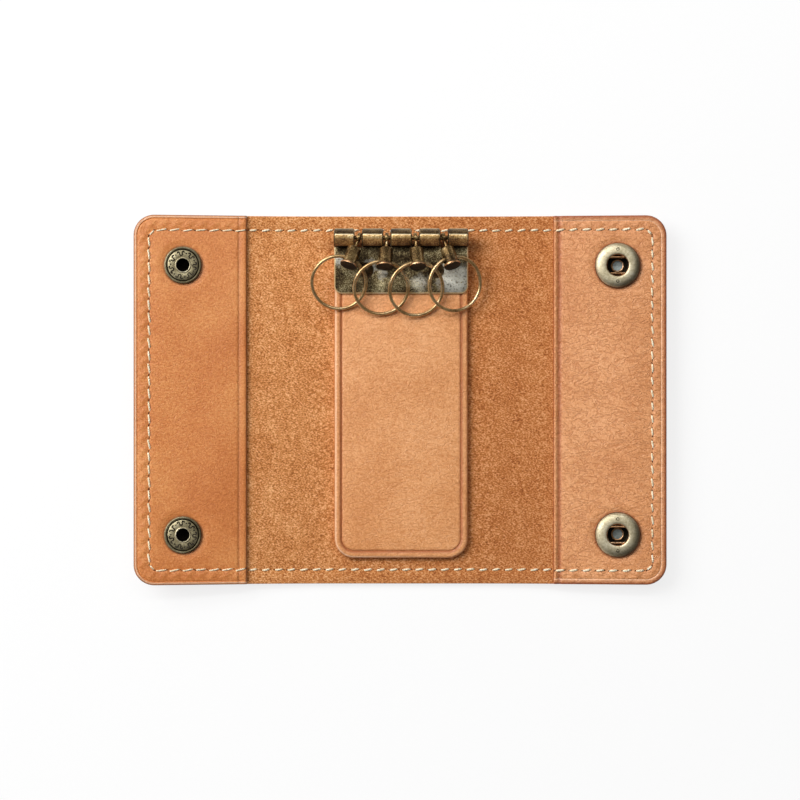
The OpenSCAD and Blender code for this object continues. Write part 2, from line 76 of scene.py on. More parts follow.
# %% [markdown]
# ## Working in millimetres
# Leatherwork is measured in millimetres, and Blender's tools are steadier on numbers
# near one than near a thousandth. So every piece is modelled with one Blender unit as
# one millimetre, and only the last step brings it down to metres, with its place in
# its mesh. The values below are the ones the CAD source names.

# %% Sizes in millimetres
MM = 0.001
wrap_h, half_w, corner_r = 96.4, 69.8, 5.4
cover_t, lining_t, facing_t, tongue_t = 1.0, 0.8, 1.2, 1.0
panel_half_w, flap_start = 17.9, 40.4
wrap_t = cover_t + lining_t
facing_top = wrap_t + facing_t
tongue_w, tongue_end_y, tongue_top_y, tongue_r = 35.0, -41.4, 39.35, 5.2
tongue_shift = 0.3
tongue_top = wrap_t + 2 * tongue_t
plate_top = tongue_top + 0.8
snap_x, snap_y = 57.1, 35.1
stitch_pitch, stitch_l = 3.27, 2.2
stitch_in = {"left": 3.95, "right": 3.7}
seam_in = 3.7
hook_pitch, bar_y, bar_z, hook_rise = 7.45, 42.25, 6.2, 23
hook_slip = [0.12, 0, 0, -0.12]
hook_splay = [-18, -3.4, 4, 15.3]
tilt = {"left": math.radians(7.16531), "right": math.radians(4.55885)}
side_sign = {"left": -1, "right": 1}
print("leather stack at a flap:", facing_top, "mm")

# %% [markdown]
# ## Small helpers
# In edit mode an operator acts on all that is selected. So each step starts with
# nothing selected, and then picks its faces or points by their place or their normal.

# %% Helpers for edit mode
def only(obj):
    """Selects this object alone."""
    bpy.ops.object.select_all(action="DESELECT")
    obj.select_set(True)
    bpy.context.view_layer.objects.active = obj


def edit(obj, action="DESELECT"):
    """Enters edit mode, with nothing selected or, by "SELECT", with everything."""
    only(obj)
    bpy.ops.object.mode_set(mode="EDIT")
    bpy.ops.mesh.select_mode(type="VERT")
    bpy.ops.mesh.select_all(action=action)


def leave():
    bpy.ops.object.mode_set(mode="OBJECT")


def select_all():
    bpy.ops.mesh.select_all(action="SELECT")


def pick(obj, test, kind="verts"):
    """In edit mode, selects the points, edges or faces that pass a test."""
    mode = {"verts": "VERT", "edges": "EDGE", "faces": "FACE"}[kind]
    bpy.ops.mesh.select_mode(type=mode)
    bpy.ops.mesh.select_all(action="DESELECT")
    mesh = bmesh.from_edit_mesh(obj.data)
    for e in getattr(mesh, kind):
        if test(e):
            e.select_set(True)
    mesh.select_flush_mode()
    bmesh.update_edit_mesh(obj.data)


def move(*value):
    bpy.ops.transform.translate(value=value)


def extrude(*value):
    bpy.ops.mesh.extrude_region_move(TRANSFORM_OT_translate={"value": value})


def bisect(point, normal, **settings):
    """Cuts everything with a plane."""
    select_all()
    bpy.ops.mesh.bisect(plane_co=point, plane_no=normal, **settings)


def new_piece(name, primitive, **settings):
    """Adds a primitive as the start of a piece."""
    bpy.ops.object.select_all(action="DESELECT")
    getattr(bpy.ops.mesh, f"primitive_{primitive}_add")(**settings)
    obj = bpy.context.active_object
    obj.name = obj.data.name = name
    return obj


def apply_modifier(obj, kind, **settings):
    modifier = obj.modifiers.new(kind.title(), kind)
    for key, value in settings.items():
        setattr(modifier, key, value)
    only(obj)
    bpy.ops.object.modifier_apply(modifier=modifier.name)


def face_outwards(obj, merge=0.0005):
    """Merges doubled points, then turns every face outwards."""
    edit(obj, "SELECT")
    bpy.ops.mesh.remove_doubles(threshold=merge)
    bpy.ops.mesh.normals_make_consistent(inside=False)
    leave()


def smooth(obj, angle=40):
    only(obj)
    bpy.ops.object.shade_smooth_by_angle(angle=math.radians(angle))


def copy_of(obj, name, placing):
    """A copy with its own mesh, moved to its place."""
    twin = bpy.data.objects.new(name, obj.data.copy())
    bpy.context.scene.collection.objects.link(twin)
    twin.data.transform(placing)
    return twin


def join(objects, name):
    """Makes one piece of several, each of which already has its own mesh."""
    bpy.ops.object.select_all(action="DESELECT")
    for obj in objects:
        obj.select_set(True)
    bpy.context.view_layer.objects.active = objects[0]
    if len(objects) > 1:
        bpy.ops.object.join()
    objects[0].name = objects[0].data.name = name
    return objects[0]


def remove(*objects):
    for obj in objects:
        bpy.data.objects.remove(obj)


def painted(obj, finishes, choose=None):
    """Gives a piece its finishes. choose(face) picks one by its number."""
    obj.data.materials.clear()
    for finish in finishes:
        obj.data.materials.append(finish)
    for face in obj.data.polygons:
        face.material_index = choose(face) if choose else 0


def from_axis(face):
    return math.hypot(*face.center[:2])


# %% [markdown]
# ## From the flat sheet to the opened case
# The leather is cut flat. On the table the middle panel lies flat, then the sheet curls
# up a little over the fold, and the flaps stand on their snaps, so they tilt. One
# function knows this: it takes points on the flat sheet, measured outwards from the
# middle, and lays them where the CAD has them. Every leather piece, stitch and snap
# goes through it or through the flap's own turn, so they all meet without fitting.

# %% Lay the flat sheet on its bend
fold_l = flap_start - panel_half_w


def laid(points, side):
    """Points of the flat sheet (x outwards from the middle) to their place at rest."""
    r = fold_l / tilt[side]
    x, y, z = points.T
    angle = np.clip(x - panel_half_w, 0, fold_l) / r
    past = np.maximum(x - flap_start, 0)
    across = np.minimum(x, panel_half_w) + (r - z) * np.sin(angle) + past * np.cos(angle)
    up = r * (1 - np.cos(angle)) + past * np.sin(angle) + z * np.cos(angle)
    return np.stack([across * side_sign[side], y, up], axis=1)


def coords(obj):
    values = np.empty(len(obj.data.vertices) * 3)
    obj.data.vertices.foreach_get("co", values)
    return values.reshape(-1, 3)


def set_coords(obj, values):
    obj.data.vertices.foreach_set("co", np.asarray(values, np.float32).ravel())
    obj.data.update()


def lay(obj, side):
    set_coords(obj, laid(coords(obj), side))
    if side == "left":
        obj.data.flip_normals()


def on_flap(side, x, y, z):
    """The placing matrix for something upright at x, y on a flap's flat sheet."""
    base = Vector(laid(np.array([[x, y, z]]), side)[0])
    return Matrix.Translation(base) @ Matrix.Rotation(-side_sign[side] * tilt[side], 4, "Y")


def turned(axis, degrees):
    return Matrix.Rotation(math.radians(degrees), 4, axis)


def on_hook(k, along):
    """The placing matrix for a point of hook k, at a distance from the bar along it."""
    hook_x = tongue_shift + (k - 1.5) * hook_pitch + hook_slip[k]
    return (Matrix.Translation((hook_x, bar_y, bar_z)) @ turned("X", -hook_rise)
            @ turned("Z", hook_splay[k]) @ Matrix.Translation((0, -along, 0)))


def to_metres(obj):
    obj.data.transform(obj.matrix_world)
    obj.matrix_world = Matrix.Identity(4)
    obj.data.transform(Matrix.Scale(MM, 4))
    obj.data.update()


def dress(obj, body, node_name):
    """Brings a finished piece to metres, onto its body and into its node's place."""
    to_metres(obj)
    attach(obj, body)
    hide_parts(node_name)


print("flap tilt in degrees:", {k: round(math.degrees(v), 2) for k, v in tilt.items()})

# %% [markdown]
# ## Colours and nodes
# A colour is picked as the eye sees it, as a hex value on the sRGB scale, while the
# renderer adds up light, which is linear. One function turns the first into the
# second. Another adds a node. Its inputs are given in their order or by name, with a
# low line for a space, and each is a value, a hex colour, or the node that feeds it.

# %% Colour and node helpers
def linear(hex_colour):
    parts = [int(hex_colour[i:i + 2], 16) / 255 for i in (1, 3, 5)]
    return [c / 12.92 if c <= 0.04045 else ((c + 0.055) / 1.055) ** 2.4 for c in parts] + [1]


def feed(tree, made, inputs):
    """Gives a node its inputs, its properties and, for a ramp, its stops."""
    for key, value in inputs.items():
        spoken = key if isinstance(key, int) else key.replace("_", " ")
        if isinstance(value, bpy.types.Node):
            value = value.outputs[0]
        if isinstance(value, str) and value.startswith("#"):
            value = linear(value)
        if isinstance(value, bpy.types.NodeSocket):
            tree.links.new(value, made.inputs[spoken])
        elif isinstance(spoken, int) or spoken in made.inputs:
            made.inputs[spoken].default_value = value
        elif key == "stops":
            elements = made.color_ramp.elements
            while len(elements) < len(value):
                elements.new(0.5)
            for element, (at, colour) in zip(elements, value):
                element.position, element.color = at, linear(colour)
        else:
            setattr(made, key, value)


def node(tree, kind, *ordered, **named):
    """Adds a node with its settings and links."""
    made = tree.nodes.new("ShaderNode" + kind)
    feed(tree, made, {**dict(enumerate(ordered)), **named})
    return made


def material(name, **shader):
    """A new material, with values for its shader's own sockets."""
    made = bpy.data.materials.new(name)
    made.use_nodes = True
    surface = made.node_tree.nodes["Principled BSDF"]
    feed(made.node_tree, surface, shader)
    place = node(made.node_tree, "TexCoord").outputs["Object"]
    return made, made.node_tree, surface, place


def per_metre(size_mm):
    """A pattern's scale from the real size of one of its grains."""
    return 1 / (size_mm * MM)


# %% [markdown]
# ## Smooth leather
# Vegetable-tanned cowhide, milled and waxed: a firm face with fine pores about 0.3 mm
# apart, drawn at 0.4 mm so that they show, hair-fine wrinkles a few millimetres long,
# soft clouds of tone a centimetre or two wide, and edges burnished darker. It is dense,
# so its IOR is about 1.5, and the waxing gives a roughness near 0.45. The edge is darkened
# by an attribute that each piece stores, from how far a point lies from the cut, and on
# the facings and the tongue the same attribute paints shade along the pressed crease. A
# second one paints a pale highlight line beside the rolled edge, where the polished edge
# is also less rough. A third attribute holds the place on the flat sheet: from it come the
# small pillows that the stitches pull up beside them, the dish that a snap presses round
# it, and a ring of painted shadow round each snap.

# %% Smooth leather material
pillow_in, pillow_w = 2.6, 1.1


def band(tree, value, centre, width):
    """One at the centre of a band, falling softly to nothing at its width."""
    off = node(tree, "Math", value, centre, operation="SUBTRACT")
    off = node(tree, "Math", off, operation="ABSOLUTE")
    return node(tree, "MapRange", off, interpolation_type="SMOOTHSTEP", From_Min=width,
                From_Max=0.0)


def ripple(tree, along, across):
    """Pillows beside a row of stitches: a wave along it, within a band beside it."""
    turns = node(tree, "Math", along, 2 * math.pi / stitch_pitch, operation="MULTIPLY")
    wave = node(tree, "Math", turns, operation="COSINE")
    beside = band(tree, across[0], across[1] - pillow_in, pillow_w)
    return node(tree, "Math", wave, beside, operation="MULTIPLY")


def smooth_leather(name, light, mid, deep, edge, wrinkled=0.5, snap_r=5.0):
    made, tree, surface, place = material(name, Roughness=0.46, IOR=1.5)
    clouds = node(tree, "TexNoise", place, Scale=per_metre(16), Detail=2)
    grain = node(tree, "TexNoise", place, Scale=per_metre(0.45), Detail=3, Roughness=0.66,
                 Distortion=0.4)
    pores = node(tree, "TexVoronoi", place, Scale=per_metre(0.4))
    drawn = node(tree, "Mapping", place, Rotation=(0, 0, 0.5), Scale=(0.55, 1, 1))
    folds = node(tree, "TexNoise", drawn, Scale=per_metre(1.5), Detail=2.5, Distortion=0.8)
    wrinkle = band(tree, folds, 0.5, 0.06)

    blotch = node(tree, "MixRGB", 0.68, clouds, grain)
    tone = node(tree, "ValToRGB", blotch, stops=[(0.37, deep), (0.5, mid), (0.63, light)])
    lined = node(tree, "Math", wrinkle, 0.75 * wrinkled, operation="MULTIPLY")
    lined = node(tree, "MixRGB", lined, tone, deep)

    flat = node(tree, "Attribute", attribute_name="flat").outputs["Vector"]
    sheet = node(tree, "SeparateXYZ", flat)
    x, y = sheet.outputs["X"], sheet.outputs["Y"]
    upper = node(tree, "Math", y, operation="ABSOLUTE")
    folded = node(tree, "CombineXYZ", x, upper)
    from_snap = node(tree, "VectorMath", folded, (snap_x, snap_y, 0),
                     operation="DISTANCE").outputs["Value"]
    # A ring of painted shadow round each snap darkens the leather at its edge.
    snap_shadow = node(tree, "Math", band(tree, from_snap, snap_r, 0.7), 0.6, operation="MULTIPLY")
    rim = node(tree, "Attribute", attribute_name="edge").outputs["Fac"]
    dark = node(tree, "Math", rim, snap_shadow, operation="MAXIMUM")
    aged_and_shaded = node(tree, "MixRGB", dark, lined, edge)
    wax = node(tree, "Attribute", attribute_name="wax").outputs["Fac"]
    # The pale colour mixed in here is a painted highlight; the lower roughness below is the edge's
    # real polish.
    waxed = node(tree, "MixRGB", wax, aged_and_shaded, "#FBDDBE")
    rough = node(tree, "MapRange", grain, To_Min=0.4, To_Max=0.54)
    shiny = node(tree, "Math", wax, -0.2, rough, operation="MULTIPLY_ADD")

    relief = node(tree, "MixRGB", 0.5, grain, pores, blend_type="ADD")
    sunk = node(tree, "MixRGB", wrinkled, relief, wrinkle, blend_type="SUBTRACT")
    fine = node(tree, "Bump", Strength=0.85, Distance=0.09 * MM, Height=sunk)
    pillows = node(tree, "Math", ripple(tree, y, (x, half_w)),
                   ripple(tree, x, (upper, wrap_h / 2)), operation="ADD")
    dish = node(tree, "MapRange", from_snap, interpolation_type="SMOOTHSTEP",
                From_Min=snap_r - 0.5, From_Max=snap_r + 2.2, To_Max=3.5)
    pressed = node(tree, "Math", pillows, dish, operation="ADD")
    bump = node(tree, "Bump", Strength=1.0, Distance=0.09 * MM, Height=pressed, Normal=fine)
    feed(tree, surface, {"Base Color": waxed, "Roughness": shiny, "Normal": bump})
    return made


left_leather = smooth_leather("veg_tan_leather_left", "#EAA05E", "#DA8748", "#C46F34", "#7E4522",
                              wrinkled=0.35, snap_r=4.85)
right_leather = smooth_leather("veg_tan_leather_right", "#F6B480", "#E39C65", "#CA814C", "#984A20",
                               wrinkled=0.9, snap_r=5.95)
tongue_leather = smooth_leather("veg_tan_leather_tongue", "#F5B47D", "#E59E63", "#CF854A",
                                "#9C4E24", wrinkled=0.6)
cover_leather = smooth_leather("veg_tan_leather_cover", "#DD965A", "#CF844A", "#B96F38", "#8A4E28")
print("smooth leathers made")

# %% [markdown]
# ## Suede
# The flesh side of split cowhide, buffed to a nap. The fibres lie in tufts about a third
# of a millimetre wide, combed a little one way, that catch the light or shade each
# other, so the tone is mottled far more than on smooth leather. A high roughness and a
# little sheen give the soft look. It turns redder to the right, and a band of painted
# shade darkens it where it lies under the knuckles.

# %% Suede material
suede, tree, surface, place = material(
    "buffed_split_suede", Roughness=0.95, IOR=1.4, Sheen_Weight=0.12, Sheen_Roughness=0.6,
    Sheen_Tint="#F2CFA2")
combed = node(tree, "Mapping", place, Rotation=(0, 0, 0.9), Scale=(0.7, 1, 1))
tufts = node(tree, "TexNoise", combed, Scale=per_metre(0.33), Detail=2, Roughness=0.6)
brushed = node(tree, "TexNoise", place, Scale=per_metre(4), Detail=4, Roughness=0.6)
mottle = node(tree, "MixRGB", 0.2, tufts, brushed)
tone = node(tree, "ValToRGB", mottle, stops=[(0.31, "#834820"), (0.42, "#B76D36"),
                                             (0.53, "#DA9355"), (0.67, "#FCC48F")])
spread = node(tree, "SeparateXYZ", place)
redder = node(tree, "MapRange", spread, From_Min=-30 * MM, From_Max=30 * MM)
uneven = node(tree, "MixRGB", redder, tone, "#EADED6", blend_type="MULTIPLY")
# Painted shade on the suede, in a band under the knuckles.
shade_y, shade_h, shade_w = 40.5, 2.4, 26
under = node(tree, "Math", band(tree, spread.outputs["Y"], shade_y * MM, shade_h * MM),
             band(tree, spread.outputs["X"], tongue_shift * MM, shade_w * MM),
             operation="MULTIPLY")
shaded_under_knuckles = node(tree, "MixRGB", under, uneven, "#2E1A0E")
bump = node(tree, "Bump", Strength=0.8, Distance=0.12 * MM, Height=tufts)
feed(tree, surface, {"Base Color": shaded_under_knuckles, "Normal": bump})
print("suede made")

# %% [markdown]
# ## Waxed thread
# Linen thread of two plies, waxed, cream. Its plies wind round each other once in
# about a millimetre, which the UV map of a stitch carries as slanting ribs.

# %% Thread material
thread, tree, surface, place = material("waxed_two_ply_thread", Roughness=0.6, IOR=1.45,
                                        Sheen_Weight=0.15)
uv = node(tree, "SeparateXYZ", node(tree, "UVMap"))
along = node(tree, "Math", uv.outputs["Y"], 5.0, operation="MULTIPLY")
twist = node(tree, "Math", along, uv, operation="ADD")
turns = node(tree, "Math", twist, 4 * math.pi, operation="MULTIPLY")
ply = node(tree, "Math", turns, operation="SINE")
fuzz = node(tree, "TexNoise", place, Scale=per_metre(0.4), Detail=2)
tone = node(tree, "ValToRGB", fuzz, stops=[(0.3, "#DABE8E"), (0.5, "#F8E9C6"), (0.7, "#FFF5DF")])
bump = node(tree, "Bump", Strength=0.6, Distance=0.06 * MM, Height=ply)
feed(tree, surface, {"Base Color": tone, "Normal": bump})
awl_slit_shade, tree, surface, place = material("awl_slit_painted_shade", Roughness=0.9, IOR=1.4)
frayed = node(tree, "TexNoise", place, Scale=per_metre(0.3))
tone = node(tree, "ValToRGB", frayed, stops=[(0.35, "#43230F"), (0.65, "#7A4522")])
feed(tree, surface, {"Base Color": tone})
print("thread made")

# %% [markdown]
# ## Antique brass
# Brass that is plated, dipped until it turns nearly black, and then tumbled, so the
# dark stays in hollows and pits and the metal comes through where it rubs. As a metal
# it has no colour of its own but its reflection's tint. All the finishes share one
# recipe, from the hollows that stay nearly black to the edges that are rubbed bright. The
# socket's dome is handled least roughly of all and is the palest. Where the dip's brown
# crust is thick, less of the surface is metal. An attribute darkens a part: a little patina
# on the eyelet's rim, and painted shade on the side of the eyelets and sockets away from
# the lamp. On the knuckles some finishes are laid by each face's tilt as painted light
# and shade.

# %% Antique brass materials
def antique_brass(name, stops, roughness, speck=0.35, relief=0.02, bare=1.0):
    """bare is how much of it is metal, the rest being the brown crust of the dip."""
    made, tree, surface, place = material(name, Metallic=bare)
    specks = node(tree, "TexNoise", place, Scale=per_metre(speck), Detail=4, Roughness=0.7)
    stains = node(tree, "TexNoise", place, Scale=per_metre(3.5), Detail=3)
    mix = node(tree, "MixRGB", 0.4, specks, stains)
    tone = node(tree, "ValToRGB", mix, stops=stops)
    patina = node(tree, "Attribute", attribute_name="patina").outputs["Fac"]
    aged_and_shaded = node(tree, "MixRGB", patina, tone, "#2E2413")
    rough = node(tree, "MapRange", mix, To_Min=roughness[0], To_Max=roughness[1])
    bump = node(tree, "Bump", Strength=0.5, Distance=relief * MM, Height=specks)
    feed(tree, surface, {"Base Color": aged_and_shaded, "Roughness": rough, "Normal": bump})
    return made


knuckle_brass = antique_brass(
    "antique_brass_knuckles", [(0.36, "#4A3620"), (0.46, "#94703E"), (0.54, "#C8A266"),
    (0.64, "#F4E4B8")], (0.36, 0.26), speck=0.36, relief=0.004, bare=0.6)
brass = antique_brass(
    "antique_brass_face", [(0.36, "#2E2114"), (0.46, "#6A5230"), (0.56, "#A58A52"),
    (0.66, "#E0C98C")], (0.42, 0.28), speck=0.3)
plate_brass = antique_brass(
    "antique_brass_plate", [(0.42, "#2A2015"), (0.5, "#60523A"), (0.56, "#948560"),
    (0.64, "#E2D6AC")], (0.5, 0.4), speck=0.3)
dark_brass = antique_brass(
    "antique_brass_dark", [(0.37, "#2E2114"), (0.48, "#6A5232"), (0.56, "#A88856"),
    (0.65, "#EBD4A2")], (0.36, 0.26), speck=0.34, relief=0.01, bare=0.85)
band_brass = antique_brass(
    "antique_brass_stamped_and_reflection", [(0.36, "#6E644A"), (0.5, "#A69B7A"), (0.64, "#D2C8A6")],
    (0.62, 0.52), speck=0.3, relief=0.01)
soot_and_shade_brass = antique_brass(
    "antique_brass_unrubbed_and_shade", [(0.38, "#241A10"), (0.5, "#4E3C25"), (0.62, "#806742")],
    (0.4, 0.3), speck=0.36, relief=0.006, bare=0.7)
crust_shade_brass = antique_brass(
    "antique_brass_crust_shade", [(0.38, "#35200F"), (0.5, "#7C542B"), (0.62, "#C4965C")], (0.5, 0.4),
    speck=0.4, relief=0.006, bare=0.3)
rim_brass = antique_brass(
    "antique_brass_rim", [(0.34, "#B89C68"), (0.5, "#E4CC98"), (0.66, "#F8EBCB")], (0.45, 0.35),
    relief=0.006, bare=0.35)
dull_soot = antique_brass(
    "antique_brass_sooty_lines", [(0.4, "#1C150D"), (0.6, "#403422")], (0.7, 0.6), bare=0.5)
black_brass = antique_brass(
    "antique_brass_hollow_and_shade", [(0.36, "#0A0907"), (0.5, "#1B1711"), (0.68, "#3A3022")],
    (0.6, 0.45))
worn_and_highlight_brass = antique_brass(
    "antique_brass_rubbed_and_highlight", [(0.34, "#9C8662"), (0.5, "#CDB88E"), (0.66, "#EFE3C6")],
    (0.38, 0.3), relief=0.006, bare=0.6)
pale_brass = antique_brass(
    "antique_brass_pale", [(0.34, "#A39676"), (0.5, "#C8BC9C"), (0.66, "#E2D9C0")], (0.56, 0.48),
    speck=0.5, relief=0.008, bare=0.9)
ring_brass = antique_brass(
    "antique_brass_wire", [(0.34, "#866840"), (0.5, "#C8A470"), (0.66, "#F4E0B8")], (0.32, 0.24),
    relief=0.006, bare=0.8)
copper = antique_brass(
    "bared_copper_flash", [(0.34, "#80563A"), (0.5, "#C09268"), (0.66, "#F2CEAA")], (0.4, 0.3),
    relief=0.006)
tin = antique_brass(
    "tarnished_tin", [(0.36, "#7F8784"), (0.62, "#B7C0BC")], (0.5, 0.4))
print("brass finishes made")

# %% Pale patches of painted reflection on the plate
tree = plate_brass.node_tree
surface = tree.nodes["Principled BSDF"]
place = node(tree, "TexCoord").outputs["Object"]
cloudy = node(tree, "TexNoise", place, Scale=per_metre(2.5), Detail=4, Roughness=0.7)
ragged = node(tree, "VectorMath", cloudy.outputs["Color"], (5 * MM, 5 * MM, 0), place,
              operation="MULTIPLY_ADD")
# The noise is about a half on the mean, so 5 mm of it shifts a patch by 2.5 mm
noise_shift = 2.5
# Each patch is a painted reflection: the plate turns pale grey there, broken up by grit.
patches = ((-16, 36.5, 1.9, 0.6), (-8, 35.2, 2.2, 0.7), (-4.5, 33, 1.9, 0.4),
           (5.2, 30.5, 2.8, 0.5), (14.2, 31.5, 5.4, 0.9))
reflection_mask = 0.0
for x, y, reach, reflection_amount in patches:
    spot = [v * MM for v in (x + noise_shift, y + noise_shift, plate_top)]
    far = node(tree, "VectorMath", ragged, spot, operation="DISTANCE").outputs["Value"]
    near = node(tree, "MapRange", far, From_Min=reach * MM, From_Max=0.5 * reach * MM,
                To_Max=reflection_amount)
    reflection_mask = node(tree, "Math", near, reflection_mask, operation="MAXIMUM")
grit = node(tree, "TexNoise", place, Scale=per_metre(0.5), Detail=3)
fleck = node(tree, "ValToRGB", grit, stops=[(0.32, "#404040"), (0.42, "#D8D8D8"),
                                            (0.52, "#FFFFFF")])
amount = node(tree, "Math", reflection_mask, fleck, operation="MULTIPLY")
under = surface.inputs["Base Color"].links[0].from_socket
feed(tree, surface, {"Base Color": node(tree, "MixRGB", amount, under, "#DCD9CC")})
print("plate patches:", len(patches))

# %% [markdown]
# ## Leather panels
# Each leather piece starts as a plane at its cut size. Its corners are bevelled round,
# it is extruded to its thickness, and then the top face is inset again and again, a
# little in and a little up or down each time. Insets follow the outline, so they make
# the rolled edge, the pressed crease and the dip along the stitches in one go.

# %% Leather panel helper
def rolled(radius, steps=4):
    """Insets that roll an edge over a quarter round."""
    turns = [math.pi / 2 * k / steps for k in range(steps + 1)]
    return [(radius * (math.cos(a) - math.cos(b)), radius * (math.sin(b) - math.sin(a)))
            for a, b in zip(turns, turns[1:])]


def inset_all(rings):
    for step, rise in rings:
        bpy.ops.mesh.inset(thickness=step, depth=rise, use_even_offset=True)


def leather_panel(name, box, round_corners, radius, bottom, thickness, top_rings,
                  bottom_rings=()):
    """A panel between x0, x1, y0 and y1, with the corners named in round_corners round."""
    x0, x1, y0, y1 = box
    middle = Vector(((x0 + x1) / 2, (y0 + y1) / 2, 0))
    obj = new_piece(name, "plane", size=1)
    edit(obj, "SELECT")
    bpy.ops.transform.resize(value=(x1 - x0, y1 - y0, 1))
    move(middle.x, middle.y, bottom)
    pick(obj, lambda v: (int(math.copysign(1, (v.co - middle).x)),
                         int(math.copysign(1, (v.co - middle).y))) in round_corners)
    bpy.ops.mesh.bevel(offset=radius, segments=14, affect="VERTICES")
    select_all()
    top_rise = sum(rise for _, rise in top_rings)
    low_rise = sum(rise for _, rise in bottom_rings)
    move(0, 0, low_rise)
    extrude(0, 0, thickness - top_rise - low_rise)
    select_all()
    bpy.ops.mesh.normals_make_consistent(inside=False)
    pick(obj, lambda f: f.normal.z > 0.9, "faces")
    inset_all(top_rings)
    pick(obj, lambda f: f.normal.z < -0.9, "faces")
    inset_all(bottom_rings)
    leave()
    return obj


def cut_across(obj, x, keep=None):
    """Cuts the sheet across at x. To keep the right, the rest goes and the cut is filled."""
    edit(obj)
    bisect((x, 0, 0), (1, 0, 0), use_fill=keep is not None, clear_inner=keep == "right")
    leave()


def edge_distance(points, x_edge, y_low, y_high, radius, free_edge=None):
    """How far points lie inside a panel's round-cornered outline."""
    x, y = points[:, 0], points[:, 1]
    mid, half = (y_low + y_high) / 2, (y_high - y_low) / 2
    qx, qy = x - (x_edge - radius), np.abs(y - mid) - (half - radius)
    outside = np.hypot(np.maximum(qx, 0), np.maximum(qy, 0))
    inside = radius - outside - np.minimum(np.maximum(qx, qy), 0)
    return inside if free_edge is None else np.minimum(inside, x - free_edge)


def burnt(distance, width):
    """The dark of a burnished edge, one at the cut and nothing at its width."""
    t = np.clip(1 - distance / width, 0, 1)
    return t * t * (3 - 2 * t)


def line(distance, amount, centre, width):
    """A soft line that runs at one distance from an edge."""
    return amount * np.exp(-((distance - centre) / width) ** 2)


def store(obj, name, values):
    """Stores a number for each point, for a material to read."""
    layer = obj.data.attributes.new(name, "FLOAT", "POINT")
    layer.data.foreach_set("value", np.asarray(values, np.float32))


def punched(obj, centres, diameter):
    """Cuts the round holes that a snap passes through."""
    punch = join([new_piece("punch", "cylinder", vertices=48, radius=diameter / 2, depth=20,
                            location=(x, y, 0)) for x, y in centres], "punch")
    apply_modifier(obj, "BOOLEAN", operation="DIFFERENCE", object=punch, solver="EXACT")
    remove(punch)


snap_places = [(snap_x, snap_y), (snap_x, -snap_y)]
half_h = wrap_h / 2

# %% [markdown]
# ## Cover and lining
# On the bench each is one sheet. Here each is two halves that meet on the middle line,
# because a piece can only bend between two bodies: the middle and one flap. Cuts across
# the fold divide it into strips, closer together where the flap folds over.

# %% Model the cover and the lining
overlap, apart = 8, 0.013  # past the middle, and between the two sets of cuts
fold_cuts = [panel_half_w + fold_l * k / 16 for k in range(17)]
hinge_x = 28.1
bend_reach = 6.0
bend_cuts = [hinge_x - bend_reach + 2 * bend_reach * k / 30 for k in range(31)]
cuts = sorted(fold_cuts + [c + apart for c in bend_cuts])
channel = [(0.05, -0.3), (0.8, 0), (0.05, 0.3)]
sheet_corners = ((1, 1), (1, -1))


def over_fold(obj):
    """Bakes a piece's placing into its mesh."""
    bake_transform(obj)


def half_sheet(name, side, bottom, thickness, top_rings, bottom_rings, hole):
    obj = leather_panel(name, (-overlap, half_w, -half_h, half_h), sheet_corners, corner_r,
                        bottom, thickness, top_rings, bottom_rings)
    cut_across(obj, 0, keep="right")
    for x in cuts:
        cut_across(obj, x)
    punched(obj, snap_places, hole)
    outline = edge_distance(coords(obj), half_w, -half_h, half_h, corner_r)
    store(obj, "edge", burnt(outline, 0.7))
    lay(obj, side)
    return obj


covers, linings = {}, {}
hole_d = {"left": 4.2, "right": 5.8}
cover_hole_d = {"left": 4.2, "right": 3.6}
for side in ("left", "right"):
    covers[side] = half_sheet(
        f"cover_sheet_{side}", side, 0, cover_t, rolled(0.12, 2),
        rolled(0.3) + [(seam_in - 0.3 - 0.45, 0)] + channel, cover_hole_d[side])
    linings[side] = half_sheet(
        f"lining_sheet_{side}", side, cover_t, lining_t,
        rolled(0.22, 3) + [(seam_in - 0.22 - 0.5, 0), (0.25, -0.04), (0.25, -0.06),
                           (0.25, 0.06), (0.25, 0.04)],
        rolled(0.1, 2), hole_d[side])
print("cover points:", len(covers["left"].data.vertices))
